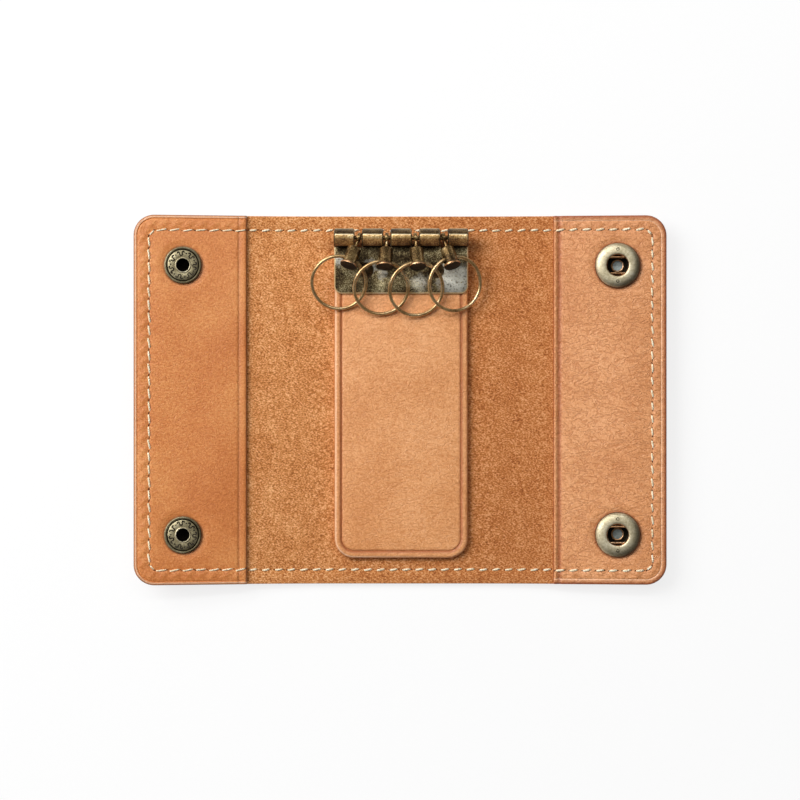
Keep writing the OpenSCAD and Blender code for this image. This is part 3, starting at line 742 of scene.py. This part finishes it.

# %% [markdown]
# ## Facings
# The smooth panels on the flaps. Three edges follow the wrap's outline and are rolled
# over. The free edge is a bead: the leather is rounded at the cut, dips gently, and ends
# in a pressed crease, 2 mm in on the left and a wider one on the right, with painted
# shade along the crease, darker on the right. A painted highlight runs as a pale line
# beside the rolled outer edge.

# %% Model the facings
facings = {}
bead = {
    "left": [(1.0, 0), (1.35, -0.02), (1.7, -0.06), (1.95, -0.12), (2.12, -0.17), (2.26, -0.16),
             (2.42, -0.07), (2.65, -0.03), (3.0, -0.01)],
    "right": [(0.6, 0), (0.85, -0.1), (1.1, -0.25), (1.35, -0.34), (1.6, -0.36), (1.85, -0.28),
              (2.1, -0.12), (2.4, -0.03), (2.8, -0.01)]}
free_round = {"left": 0.75, "right": 0.5}
# Painted shade along the crease by the free edge.
crease_shade = {"left": (0.35, 2.15, 0.3), "right": (0.75, 1.5, 0.6)}
line_in = {"left": 0.2, "right": 0.65}
highlight_line = {"left": (0.68, 0.5, 0.13), "right": (0.5, 1.36, 0.12)}
burnish_w = {"left": 0.45, "right": 1.3}
edge_roll, spare, close, face_z = 0.55, 12, 0.002, 2.3
for side in ("left", "right"):
    edge_line = [(line_in[side], 0), (0.1, -0.04), (0.1, -0.09), (0.08, 0), (0.1, 0.09),
                 (0.1, 0.04)]
    edge_in = edge_roll + sum(step for step, _ in edge_line)
    facing = leather_panel(
        f"facing_{side}_panel", (flap_start - spare, half_w, -half_h, half_h), sheet_corners,
        corner_r, wrap_t, facing_t,
        rolled(edge_roll, 4) + edge_line + [(stitch_in[side] - edge_in - 0.7, 0), (0.35, -0.06),
                                            (0.35, -0.1), (0.35, 0.1), (0.4, 0.06)],
        rolled(0.1, 2))
    cut_across(facing, flap_start, keep="right")
    for reach, _ in bead[side]:
        cut_across(facing, flap_start + reach)
    edit(facing)
    for reach, drop in bead[side]:
        pick(facing, lambda v: abs(v.co.x - flap_start - reach) < close and v.co.z > face_z)
        move(0, 0, drop)
    pick(facing, lambda e: all(abs(v.co.x - flap_start) < close and v.co.z > face_z
                               for v in e.verts), "edges")
    bpy.ops.mesh.bevel(offset=free_round[side], segments=6, affect="EDGES")
    leave()
    punched(facing, snap_places, hole_d[side])
    flat = coords(facing)
    outline = edge_distance(flat, half_w, -half_h, half_h, corner_r)
    free = flat[:, 0] - flap_start
    # Burnished edges, with painted shade along the crease.
    store(facing, "edge", np.maximum.reduce([burnt(outline, burnish_w[side]), burnt(free, 0.35),
                                             line(free, *crease_shade[side])]))
    # A painted highlight: a pale line beside the rolled outer edge.
    store(facing, "wax", line(outline, *highlight_line[side]))
    layer = facing.data.attributes.new("flat", "FLOAT_VECTOR", "POINT")
    layer.data.foreach_set("vector", flat.astype(np.float32).ravel())
    lay(facing, side)
    facings[side] = facing
print("facing points:", len(facings["left"].data.vertices))

# %% [markdown]
# ## Tongue
# Two layers of the same leather, glued, with the face layer's edge rolled into a fat
# bead and a crease pressed all round. Its insets do the work of the creaser: over the
# bead, down into the crease, up again, and then a slight crown to the middle.

# %% Model the tongue
tongue_box = (tongue_shift - tongue_w / 2, tongue_shift + tongue_w / 2, tongue_end_y,
              tongue_top_y)
foot = ((1, -1), (-1, -1))
tongue_face = leather_panel(
    "tongue_face_layer", tongue_box, foot, tongue_r, wrap_t + tongue_t, tongue_t - 0.05,
    rolled(0.9, 7) + [(0.3, -0.02), (0.3, -0.06), (0.25, -0.12), (0.14, -0.2), (0.12, 0),
                      (0.12, 0.22), (0.25, 0.09), (0.3, 0.04)], rolled(0.06, 2))
tongue_back = leather_panel(
    "tongue_back_layer", tongue_box, foot, tongue_r, wrap_t, tongue_t,
    rolled(0.1, 2), rolled(0.3, 3))
for layer in (tongue_face, tongue_back):
    points = coords(layer)
    swapped = np.stack([points[:, 1] * -1, points[:, 0] - tongue_shift], axis=1)
    outline = edge_distance(swapped, -tongue_end_y, -tongue_w / 2, tongue_w / 2, tongue_r)
    # Burnished edge, and painted shade along the crease; below it, a painted highlight beside the
    # bead, on the lit left side only.
    store(layer, "edge", np.maximum(0.4 * burnt(outline, 0.5), line(outline, 0.75, 1.72, 0.42)))
    store(layer, "wax", line(outline, 0.6, 0.38, 0.16)
          * np.clip((tongue_shift - points[:, 0]) / 10, 0, 1))
print("tongue points:", len(tongue_face.data.vertices))

# %% Place the leather, the facings and the tongue on their bodies
for side in ("left", "right"):
    for sheets, finish, slot_name, part in ((covers, cover_leather, "cover_leather", "cover"),
                                            (linings, suede, "suede_leather", "lining")):
        obj = sheets[side]
        obj.data.materials.append(finish)
        smooth(obj)
        to_metres(obj)
        over_fold(obj)
        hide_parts(f"{part}_{side}", f"{part}_fold_{side}")
for obj, finish, body, node_name in (
        (facings["left"], left_leather, "left_flap", "facing_left"),
        (facings["right"], right_leather, "right_flap", "facing_right"),
        (tongue_face, tongue_leather, "centre", "tongue_face"),
        (tongue_back, tongue_leather, "centre", "tongue_back")):
    obj.data.materials.append(finish)
    smooth(obj)
    dress(obj, body, node_name)
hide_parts("cover_centre")
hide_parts("lining_centre")
print("leather pieces placed")

# %% [markdown]
# ## Stitches
# A lockstitch shows as short lengths of thread, each pulled down into its holes at both
# ends, and each a little askew to the row, because the two threads cross in the holes.
# One stitch is modelled from a cylinder: rings are cut along it, and each ring is
# dropped and thinned towards the ends. Then it is copied along the rows. The awl's slit
# at each end is painted shade: a flat dark lozenge that lies just on the leather.

# %% Model one stitch
thread_r = 0.26
stitch = new_piece("stitch", "cylinder", vertices=10, radius=thread_r, depth=stitch_l + 0.5,
                   rotation=(0, math.pi / 2, 0))
bpy.ops.object.transform_apply(location=True, rotation=True, scale=True)
stations = [(0.0, 0.0, 1.05), (0.55, -0.02, 1.02), (0.9, -0.1, 0.92), (1.15, -0.26, 0.8),
            (1.35, -0.48, 0.6)]
edit(stitch)
for reach, _, _ in stations[:-1]:
    for x in {reach, -reach}:
        bisect((x, 0, 0), (1, 0, 0))
for reach, drop, thin in stations:
    for x in {reach, -reach}:
        pick(stitch, lambda v: abs(v.co.x - x) < 0.01)
        bpy.ops.transform.resize(value=(1, thin, thin), center_override=(x, 0, 0))
        move(0, 0, drop)
leave()
smooth(stitch, 60)
stitch.data.materials.append(thread)
print("one stitch has", len(stitch.data.polygons), "faces")

# %% Model one awl hole as a disc of painted shade
awl_l, awl_w, awl_beyond, awl_turn = 0.85, 0.42, 0.32, math.radians(25)
awl_shade_disc = new_piece("awl_shade_disc", "circle", vertices=10, radius=0.5, fill_type="NGON")
edit(awl_shade_disc, "SELECT")
bpy.ops.transform.resize(value=(awl_l, awl_w, 1))
extrude(0, 0, 0.03)
bpy.ops.transform.resize(value=(0.8, 0.8, 1))
leave()
face_outwards(awl_shade_disc)
awl_shade_disc.data.materials.append(awl_slit_shade)
print("one awl hole has", len(awl_shade_disc.data.polygons), "faces")

# %% [markdown]
# Each row is spread evenly between its ends, and a seeded hand sets every stitch a
# little off. The outer side's stitches lie in the channel pressed into the cover, so
# that the case rests on its leather and not on its thread.

# %% Copy the stitch along the rows
slant = math.radians(9)
stitch_lift = 0.6
hand = np.random.default_rng(11)


def row(a, b):
    """Stitch centres from a to b, evenly spread at about the pitch."""
    count = round((b - a) / stitch_pitch)
    return [a + (k + 0.5) * (b - a) / count for k in range(count)]


def stitch_at(x, y, angle, under, surface_z, length, fat):
    """One stitch, and on the inside its two awl holes too, as discs of painted shade that lie
    straight in the row.
    """
    if under:
        return [copy_of(stitch, "stitch_copy", Matrix.Translation((x, y, thread_r * 1.1))
                        @ Matrix.Rotation(-angle, 4, "Z") @ Matrix.Rotation(math.pi, 4, "X"))]
    turn = Matrix.Rotation(angle, 4, "Z")
    made = [copy_of(stitch, "stitch_copy",
                    Matrix.Translation((x, y, surface_z + thread_r * stitch_lift)) @ turn
                    @ Matrix.Diagonal((length, fat, fat, 1)))]
    for end in (-1, 1):
        past = end * length * (stitch_l / 2 + awl_beyond)
        made.append(copy_of(awl_shade_disc, "awl_shade_disc_copy",
                            Matrix.Translation((x, y, surface_z + 0.01)) @ turn
                            @ Matrix.Translation((past, 0, 0))
                            @ Matrix.Rotation(awl_turn, 4, "Z")))
    return made


def sewn(name, side, places, under, surface_z):
    """Joins a run of stitches into one piece, laid on the bent sheet."""
    pieces = []
    for x, y, angle, length, fat in places:
        across, lean, stretch = hand.uniform(-1, 1, 3) * (0.06, math.radians(4), 0.07)
        pieces += stitch_at(x + across * math.sin(angle), y + across * math.cos(angle),
                            angle + lean, under, surface_z, length * (1 + stretch), fat)
    obj = join(pieces, name)
    lay(obj, side)
    to_metres(obj)
    return obj


corner_turn = 1.5
corner_stitch = 0.6
suede_stitch = 0.84
flap_stitch = {"left": 1.06, "right": 0.88}
along_fat = {"left": 0.78, "right": 1.12}
thread_pieces = []
for side in ("left", "right"):
    lean = slant * side_sign[side]
    long = flap_stitch[side]
    seam_y, row_y, row_x = half_h - seam_in, half_h - stitch_in[side], half_w - stitch_in[side]
    inner = [(x, y * seam_y, lean, suede_stitch, 1) for y in (-1, 1)
             for x in row(0, flap_start)]
    along = [(x, y * row_y, lean, long, along_fat[side]) for y in (-1, 1)
             for x in row(flap_start, row_x - corner_turn)]
    down = [(row_x, y, math.pi / 2 + lean, long, 0.95)
            for y in row(-row_y + corner_turn, row_y - corner_turn)]
    turn = [(row_x - corner_turn / 2, y * (row_y - corner_turn / 2), -math.pi / 4 * y,
             corner_stitch, along_fat[side]) for y in (-1, 1)]
    for under, word in ((False, "top"), (True, "under")):
        near = sewn(f"stitches_fold_{word}_{side}", side, inner, under, wrap_t - 0.1)
        far = sewn(f"stitches_flap_{word}_{side}", side, along + down + turn, under,
                   facing_top - 0.14)
        over_fold(near)
        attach(far, f"{side}_flap")
        thread_pieces += [near, far]
        if not under:
            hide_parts(f"thread_fold_{side}")
            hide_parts(f"thread_{side}")
            if side == "left":
                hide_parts("thread_centre")
remove(stitch, awl_shade_disc)
print("thread pieces:", len(thread_pieces))

# %% [markdown]
# ## Cast and stamped brass
# The plate, its knuckles, the pins, bells, rivets, studs and springs have the right shape
# in the CAD, but sharp edges look fake: real stampings and castings are tumbled. Each
# piece starts from a merged copy of its node. Flat regions are dissolved to clean
# faces, and a small bevel rounds every edge. The bevel's faces take the second finish,
# mostly a bright one, because edges are where the dark wears off first.

# %% Tumbled brass from the CAD nodes
def tumbled(node_name, name, finishes, radius, paint=None):
    """finishes: the face's and the rubbed edge's, and any that paint(face) picks by number."""
    mesh = nodes[node_name].data.copy()
    obj = bpy.data.objects.new(name, mesh)
    bpy.context.scene.collection.objects.link(obj)
    mesh.transform(Matrix.Scale(1 / MM, 4))
    edit(obj)
    bpy.ops.mesh.customdata_custom_splitnormals_clear()
    select_all()
    bpy.ops.mesh.remove_doubles(threshold=0.002)
    bpy.ops.mesh.dissolve_limited(angle_limit=math.radians(1))
    leave()
    painted(obj, finishes, paint)
    if radius:
        apply_modifier(obj, "BEVEL", width=radius, segments=2, limit_method="ANGLE",
                       angle_limit=math.radians(30), material=1, use_clamp_overlap=True,
                       harden_normals=False)
    smooth(obj)
    dress(obj, nodes[node_name]["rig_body"], node_name)


knuckles_from_y = 39.4
eye_r, bell_end = 1.32, 8.5
# On the knuckles these finishes are chosen by each face's tilt as painted light and shade: a
# highlight band, a top reflection, and shade above, below and at the ends.
PLATE, RIM, KNUCKLE, KNUCKLE_SHADE, DEEP_SHADE, TOP_REFLECTION, LOWER_SHADE, KNUCKLE_HIGHLIGHT = range(8)
plate_finishes = (plate_brass, rim_brass, knuckle_brass, soot_and_shade_brass, black_brass, band_brass,
                  crust_shade_brass, worn_and_highlight_brass)


def plate_paint_and_knuckle_shading(face):
    """Patina on the plate. On the knuckles each face's tilt picks its finish, as painted light: a
    pale highlight band where the back strip's line falls, a painted reflection high at the back,
    and painted shade above, below and at the ends.
    """
    if face.center.y > knuckles_from_y:
        tilted = math.degrees(math.atan2(face.normal.y, face.normal.z))
        if abs(face.normal.x) > 0.5:
            return KNUCKLE_SHADE
        if tilted < -66 or tilted > 100:
            return DEEP_SHADE
        if tilted < -10:
            return LOWER_SHADE
        if tilted < 21:
            return KNUCKLE if tilted < 10 else KNUCKLE_HIGHLIGHT
        return TOP_REFLECTION if tilted > 66 else KNUCKLE_SHADE
    return RIM if 0.3 < face.normal.z < 0.95 and face.center.z > plate_top - 0.35 else PLATE


def pin_paint(face):
    """The eye stays dark but for its lower edge, which keys rub, and the shank is bright."""
    if math.hypot(face.center.y - bar_y, face.center.z - bar_z) > eye_r:
        return 2
    return 3 if face.center.y < bar_y - 0.7 else 0


def bell_paint(k):
    """The flange's side is rubbed to copper, and its end face stays sooty."""
    way = (on_hook(k, 1).translation - on_hook(k, 0).translation).normalized()

    def paint(face):
        along = (face.center - on_hook(k, 0).translation).dot(way)
        if face.normal.dot(way) > 0.8 and along > bell_end - 0.7:
            return 2
        beside = abs(face.normal.dot(way)) < 0.3
        return 1 if beside and along > bell_end - 0.4 else 0
    return paint


def stud_paint(face):
    """What shows of a stud through the eyelet's bore lies in the dark."""
    return 2 if face.normal.z > 0.5 else 0


tumbled("hook_plate", "knuckle_plate", plate_finishes, 0.22, plate_paint_and_knuckle_shading)
tumbled("hook_bar", "bar_through_knuckles", (dark_brass, worn_and_highlight_brass), 0.1)
tumbled("plate_rivets", "domed_rivets", (soot_and_shade_brass, soot_and_shade_brass), 0.08)
tumbled("rivet_burrs", "rivet_tail_burrs", (dark_brass, worn_and_highlight_brass), 0.04)
for k in range(4):
    tumbled(f"hook_pin_{k + 1}", f"swivel_pin_{k + 1}",
            (dark_brass, dark_brass, knuckle_brass, copper), 0.05, pin_paint)
    tumbled(f"bell_{k + 1}", f"swivel_bell_{k + 1}", (dark_brass, copper, dull_soot), 0.07,
            bell_paint(k))
tumbled("snap_studs", "stud_pair", (brass, worn_and_highlight_brass, black_brass), 0.1, stud_paint)
tumbled("snap_springs", "spring_wires", (copper,), 0)
print("brass pieces copied and tumbled")

# %% [markdown]
# ## Round brass parts
# A ring of metal is easiest to spin: half of its section is drawn as a chain of points,
# extruded one from the next, and the chain is spun round the axis. Doubled points are
# merged and the faces turned outwards afterwards, because a spin can leave either.

# %% Spin helper
def spun(name, section, closed=True):
    """Spins a half section of (radius, height) pairs round the Z axis."""
    obj = new_piece(name, "plane", size=1)
    edit(obj, "SELECT")
    bpy.ops.mesh.merge(type="CENTER")
    r, z = section[0]
    move(r, 0, z)
    rest = section[1:] + (section[:1] if closed else [])
    for r2, z2 in rest:
        extrude(r2 - r, 0, z2 - z)
        r, z = r2, z2
    select_all()
    bpy.ops.mesh.spin(steps=96, angle=2 * math.pi, center=(0, 0, 0), axis=(0, 0, 1))
    leave()
    face_outwards(obj)
    return obj


def arc(cx, cz, r, a, b, steps):
    """Points on a round of a section, from angle a to angle b in degrees."""
    turns = [math.radians(a + (b - a) * k / steps) for k in range(steps + 1)]
    return [(cx + r * math.cos(t), cz + r * math.sin(t)) for t in turns]


def toward(obj, way):
    """Each point's distance from the axis, and how far to one side it lies."""
    points = coords(obj)[:, :2]
    out = np.hypot(points[:, 0], points[:, 1])
    return out, points @ way / out


def snap_pair(one, name, side, z, node_name):
    """Sets a copy of a snap part at both snaps of a flap, as one piece."""
    pair = [copy_of(one, f"{one.name}_copy", on_flap(side, x, y, z)) for x, y in snap_places]
    dress(join(pair, name), f"{side}_flap", node_name)
    remove(one)


# %% [markdown]
# ## Eyelets with their ornament
# The inside eyelets of the left flap have a rolled rim, a groove, and a pale band with a
# common stamped ornament: seven small loops that open outwards, each with two curled
# feet, and a dot between each two. The stamp's lines stay dark when the band is rubbed.
# A loop is half a torus, a foot half a smaller one, and the dots are half balls.

# %% Spin the eyelet
eyelet_r, bore_r, band_r, band_z = 4.85, 1.7, 3.15, 0.56
groove_in, groove_out = 3.94, 4.2
rim = arc(eyelet_r - 0.33, 0.42, 0.33, -60, 180, 10)
lip = arc(bore_r + 0.18, 0.64, 0.18, 0, 180, 8)
eyelet = spun("eyelet", [(bore_r + 0.05, 0), (eyelet_r - 0.15, 0)] + rim
              + [(groove_out - 0.02, 0.15), (groove_in + 0.02, 0.15), (groove_in, 0.5),
                 (groove_in - 0.06, band_z), (2.3, band_z), (2.1, 0.5)] + lip
              + [(bore_r, 0.6), (bore_r, -2.9), (bore_r + 0.33, -2.9), (bore_r + 0.33, -0.05)])


def eyelet_paint(face):
    """The groove and the bore are black, and the lip between them is pale."""
    out = from_axis(face)
    if groove_in - 0.03 < out < groove_out or out < bore_r + 0.01 and face.center.z < 0.6:
        return 1
    return 2 if out < 2.12 else 0


painted(eyelet, (band_brass, black_brass, pale_brass), eyelet_paint)
smooth(eyelet, 50)
out, to_right = toward(eyelet, (0.94, -0.34))
# A little patina all round the outer rim, and painted shade that grows towards the right.
store(eyelet, "patina",
      np.where(out > groove_out - 0.05, 0.35 + 0.4 * np.clip(to_right, 0, 1), 0))
print("the plain eyelet has", len(eyelet.data.polygons), "faces")

# %% Stamp its ornament
stamp_r = 0.28


def half_ring(name, radius, at, opens_out, arm):
    """Half a small torus with straight arms, as one bend of the stamped line."""
    obj = new_piece(name, "torus", major_radius=radius, minor_radius=stamp_r,
                    major_segments=16, minor_segments=6)
    edit(obj)
    bisect((0, 0, 0), (0, 1, 0), use_fill=True, clear_outer=opens_out, clear_inner=not opens_out)
    pick(obj, lambda v: abs(v.co.y) < 0.001)
    move(0, arm if opens_out else -arm, 0)
    select_all()
    move(*at, 0)
    leave()
    return obj


loop_r, foot_r, stamp_turn = 0.37, 0.27, 0.16
loop_low, foot_high = -0.22, 0.1
loop = join([half_ring("loop", loop_r, (0, loop_low), True, foot_high - loop_low),
             half_ring("foot", foot_r, (loop_r + foot_r, foot_high), False, 0.12),
             half_ring("foot", foot_r, (-loop_r - foot_r, foot_high), False, 0.12)], "loop")
dot = new_piece("dot", "uv_sphere", radius=0.3, segments=10, ring_count=6)
edit(dot)
bisect((0, 0, 0), (0, 0, 1), clear_inner=True, use_fill=True)
leave()
repeats, stamp_sink = 7, 0.19
ornament = []
for k in range(repeats):
    for part, half_step in ((loop, 0), (dot, 0.5)):
        turn = Matrix.Rotation((k + half_step) * 2 * math.pi / repeats + stamp_turn, 4, "Z")
        twin = copy_of(part, "stamped",
                       turn @ Matrix.Translation((0, band_r, band_z - stamp_sink)))
        painted(twin, (dull_soot,))
        smooth(twin, 60)
        ornament.append(twin)
remove(loop, dot)
eyelet = join([eyelet] + ornament, "eyelet")
print("one eyelet has", len(eyelet.data.polygons), "faces")

# %% Place the eyelets
snap_pair(eyelet, "ornamented_eyelets", "left", facing_top, "snap_eyelets")
print("eyelets placed")

# %% [markdown]
# ## Sockets
# The socket is a domed ring over the spring, the palest of the brass, with two small
# round marks that its press leaves. Its dome darkens towards the lower right as painted
# shade. Inside the hole the walls are dark, and the well that takes the stud's head goes
# down through the leather.

# %% Model the sockets
hole_r, well_r, crown_z = 2.73, 2.5, 1.7
dome = [(5.5, 0.02), (5.82, 0.1), (5.9, 0.32), (5.88, 0.62), (5.74, 0.94), (5.46, 1.24),
        (5.06, 1.46), (4.6, 1.59), (4.1, 1.66), (3.6, crown_z), (3.2, 1.69), (2.96, 1.62),
        (2.8, 1.48), (hole_r, 1.28)]
cavity = [(4.9, 1.3), (4.95, 0.78), (hole_r, 0.76), (hole_r, 0.1)]
well = [(well_r, 0.0), (well_r, -1.4), (1.8, -1.4), (1.8, -1.75), (2.85, -1.75), (2.85, 0.0)]
socket = spun("socket", dome + cavity + well)


def socket_paint(face):
    """The outer edge is dark, the chamber and well black, and the hole's edge copper."""
    out = from_axis(face)
    if out > 5.6:
        return 3
    if out < 5 and face.center.z < 1.31:
        return 1
    return 2 if out < 2.98 else 0


painted(socket, (pale_brass, black_brass, copper, soot_and_shade_brass), socket_paint)
smooth(socket)
out, lower_right = toward(socket, (0.87, -0.5))
# Painted shade on the dome's lower right, the side away from the lamp.
store(socket, "patina", 0.85 * np.clip((out - 3.9) / 1.7, 0, 1)
      * np.clip(0.25 + lower_right, 0, 1))
marks = []
for y in (4.15, -4.15):
    at = (0, y, crown_z - 0.05)
    mark = new_piece("press_mark", "torus", major_radius=0.34, minor_radius=0.09,
                     major_segments=20, minor_segments=8, location=at)
    mark.data.transform(mark.matrix_world)
    mark.matrix_world = Matrix.Identity(4)
    edit(mark, "SELECT")
    bpy.ops.transform.resize(value=(1, 1, 0.6), center_override=at)
    leave()
    painted(mark, (black_brass,))
    smooth(mark, 60)
    marks.append(mark)
snap_pair(join([socket] + marks, "socket"), "domed_sockets", "right", facing_top,
          "snap_sockets")
print("sockets placed")

# %% [markdown]
# ## Caps
# A cap is a shallow dome outside the right flap, with a tubular post that comes up
# through the leather. Inside the socket only the post's rolled end shows, a bright ring
# round a grey floor.

# %% Model and place the caps
cap_r, cap_h, post_r, post_end = 5.9, 2.2, 1.75, 1.45
ball_r = (cap_r ** 2 + cap_h ** 2) / (2 * cap_h)
half_turn = math.degrees(math.asin(cap_r / ball_r))
shell = arc(0, ball_r - cap_h, ball_r, -90, -90 + half_turn - 0.8, 14)
roll_r = 0.26
cap = spun("cap", [(0, -cap_h)] + shell[1:] + [(cap_r - 0.01, -0.05), (cap_r - 0.07, 0)]
           + [(post_r, 0), (post_r, post_end - roll_r)]
           + arc(post_r - roll_r, post_end - roll_r, roll_r, 15, 180, 8)
           + [(post_r - 2 * roll_r, post_end - 0.7), (0, post_end - 0.7)], closed=False)


def cap_paint(face):
    """The post's rolled end is copper, round a floor of tin."""
    if face.center.z <= 0.5:
        return 0
    return 2 if from_axis(face) < post_r - 2 * roll_r else 1


painted(cap, (brass, copper, tin), cap_paint)
smooth(cap)
snap_pair(cap, "cap_pair", "right", 0, "snap_caps")
print("caps placed")

# %% [markdown]
# ## Key rings
# A key ring is a length of brass wire bent round until its ends butt. The section is a
# small circle, spun not quite all the way round, so that a hairline joint is left, and
# both ends are capped and eased. Each ring is turned so that its joint lies where the
# real one does, or under its bell.

# %% Model one key ring
ring_centre_r, wire_r, joint_gap = 7.05, 0.45, 0.08
ring = new_piece("ring", "circle", vertices=18, radius=wire_r, rotation=(math.pi / 2, 0, 0),
                 location=(ring_centre_r, 0, 0), fill_type="NGON")
bpy.ops.object.transform_apply(location=True, rotation=True, scale=True)
edit(ring, "SELECT")
bpy.ops.mesh.spin(steps=144, angle=2 * math.pi - joint_gap / ring_centre_r,
                  center=(0, 0, 0), axis=(0, 0, 1))
leave()
apply_modifier(ring, "BEVEL", width=0.07, segments=2, limit_method="ANGLE",
               angle_limit=math.radians(60))
face_outwards(ring)
ring.data.materials.append(ring_brass)
smooth(ring, 50)
print("one ring has", len(ring.data.polygons), "faces")

# %% Place the four rings
ring_seat = [6.45, 6.95, 7.2, 6.0]
ring_turn = [-27.5, -9, -2.5, 11.5]
ring_dip = [15.5, 17, 16.4, 14]
ring_roll = [9, 9, 12, 16]
joint_at = [70, 178, 80, 100]
for k in range(4):
    seat = on_hook(k, ring_seat[k])
    at = (Matrix.Translation(seat.translation) @ turned("Z", ring_turn[k])
          @ turned("X", ring_dip[k]) @ turned("Y", ring_roll[k])
          @ Matrix.Translation((0, -ring_centre_r, 0)) @ turned("Z", joint_at[k]))
    twin = copy_of(ring, f"wire_ring_{k + 1}", at)
    dress(twin, f"ring_{k + 1}", f"key_ring_{k + 1}")
remove(ring)

# %% [markdown]
# ## Floor, light and camera
# The case lies on a white sweep. A big soft lamp stands to the left and a little
# behind, low enough to throw short shadows to the right. A small card and a long strip
# behind give the knuckles their lines of light. The world is pale at the horizon and dim
# overhead, so brass seen from above shows dark between its highlights. The floor glows
# for rays that see it, which makes it white, while it still takes the shadow.

# %% Floor
floor = new_piece("floor", "plane", size=6)
paper, tree, surface, place = material("white_paper_sweep", Roughness=0.9)
tooth = node(tree, "TexNoise", place, Scale=per_metre(1.5))
tone = node(tree, "ValToRGB", tooth, stops=[(0.3, "#FDFDFD"), (0.7, "#FFFFFF")])
feed(tree, surface, {"Base Color": tone})
ray = node(tree, "LightPath").outputs
seen = node(tree, "Math", ray["Is Camera Ray"], ray["Is Glossy Ray"], operation="MAXIMUM")
seen = node(tree, "Math", seen, ray["Is Transmission Ray"], operation="MAXIMUM")
share = node(tree, "Math", seen, 0.8, operation="MULTIPLY")
glow = node(tree, "Emission", Color="#FFFFFF", Strength=1.0)
feed(tree, tree.nodes["Material Output"],
     {"Surface": node(tree, "MixShader", share, surface, glow)})
floor.data.materials.append(paper)
print("floor laid")

# %% Lamps and world
def soft_lamp(name, place, size, power):
    """A rectangular lamp that looks at the case."""
    data = bpy.data.lights.new(name, "AREA")
    data.shape = "RECTANGLE"
    data.size, data.size_y = size
    data.energy = power
    lamp = bpy.data.objects.new(name, data)
    bpy.context.scene.collection.objects.link(lamp)
    lamp.location = place
    lamp.rotation_mode = "QUATERNION"
    lamp.rotation_quaternion = (-Vector(place)).to_track_quat("-Z", "Y")


soft_lamp("key_softbox", (-0.75, 0.42, 0.75), (0.7, 0.7), 11.3)
soft_lamp("back_card", (-0.36, 0.72, 0.66), (0.3, 0.2), 1.1)
soft_lamp("back_strip", (0.0, 0.53, 0.9), (1.1, 0.1), 2.7)
world = bpy.data.worlds.new("pale_room")
world.use_nodes = True
bpy.context.scene.world = world
sky = world.node_tree
direction = node(sky, "TexCoord").outputs["Generated"]
widened = node(sky, "VectorMath", direction, (0.5, 1, 1), operation="MULTIPLY")
widened = node(sky, "VectorMath", widened, operation="NORMALIZE")
overhead = node(sky, "VectorMath", widened, (-0.2, 0.31, 0.93),
                operation="DOT_PRODUCT").outputs["Value"]
lit_ceiling = node(sky, "ValToRGB", overhead, stops=[(0.0, "#383838"), (0.82, "#404040"),
                                                     (0.9, "#808080"), (0.95, "#C4C4C4")])
upward = node(sky, "SeparateXYZ", direction).outputs["Z"]
far_wall = node(sky, "ValToRGB", upward, stops=[(0.15, "#FFFFFF"), (0.2, "#000000")])
room = node(sky, "MixRGB", 1.0, lit_ceiling, far_wall, blend_type="LIGHTEN")
feed(sky, sky.nodes["Background"], {"Color": room, "Strength": 1.0})
bpy.context.scene.view_settings.view_transform = "Standard"
print("lamps:", len(bpy.data.lights))

# %% Camera
camera_height, frame_mm, frame_z = 533, 208, 7
camera_data = bpy.data.cameras.new("camera")
camera = bpy.data.objects.new("camera", camera_data)
bpy.context.scene.collection.objects.link(camera)
camera.location = (0, 0, camera_height * MM)
camera_data.angle = 2 * math.atan(frame_mm / 2 / (camera_height - frame_z))
camera_data.clip_start = 0.01
bpy.context.scene.camera = camera
print("camera field of view:", round(math.degrees(camera_data.angle), 2))
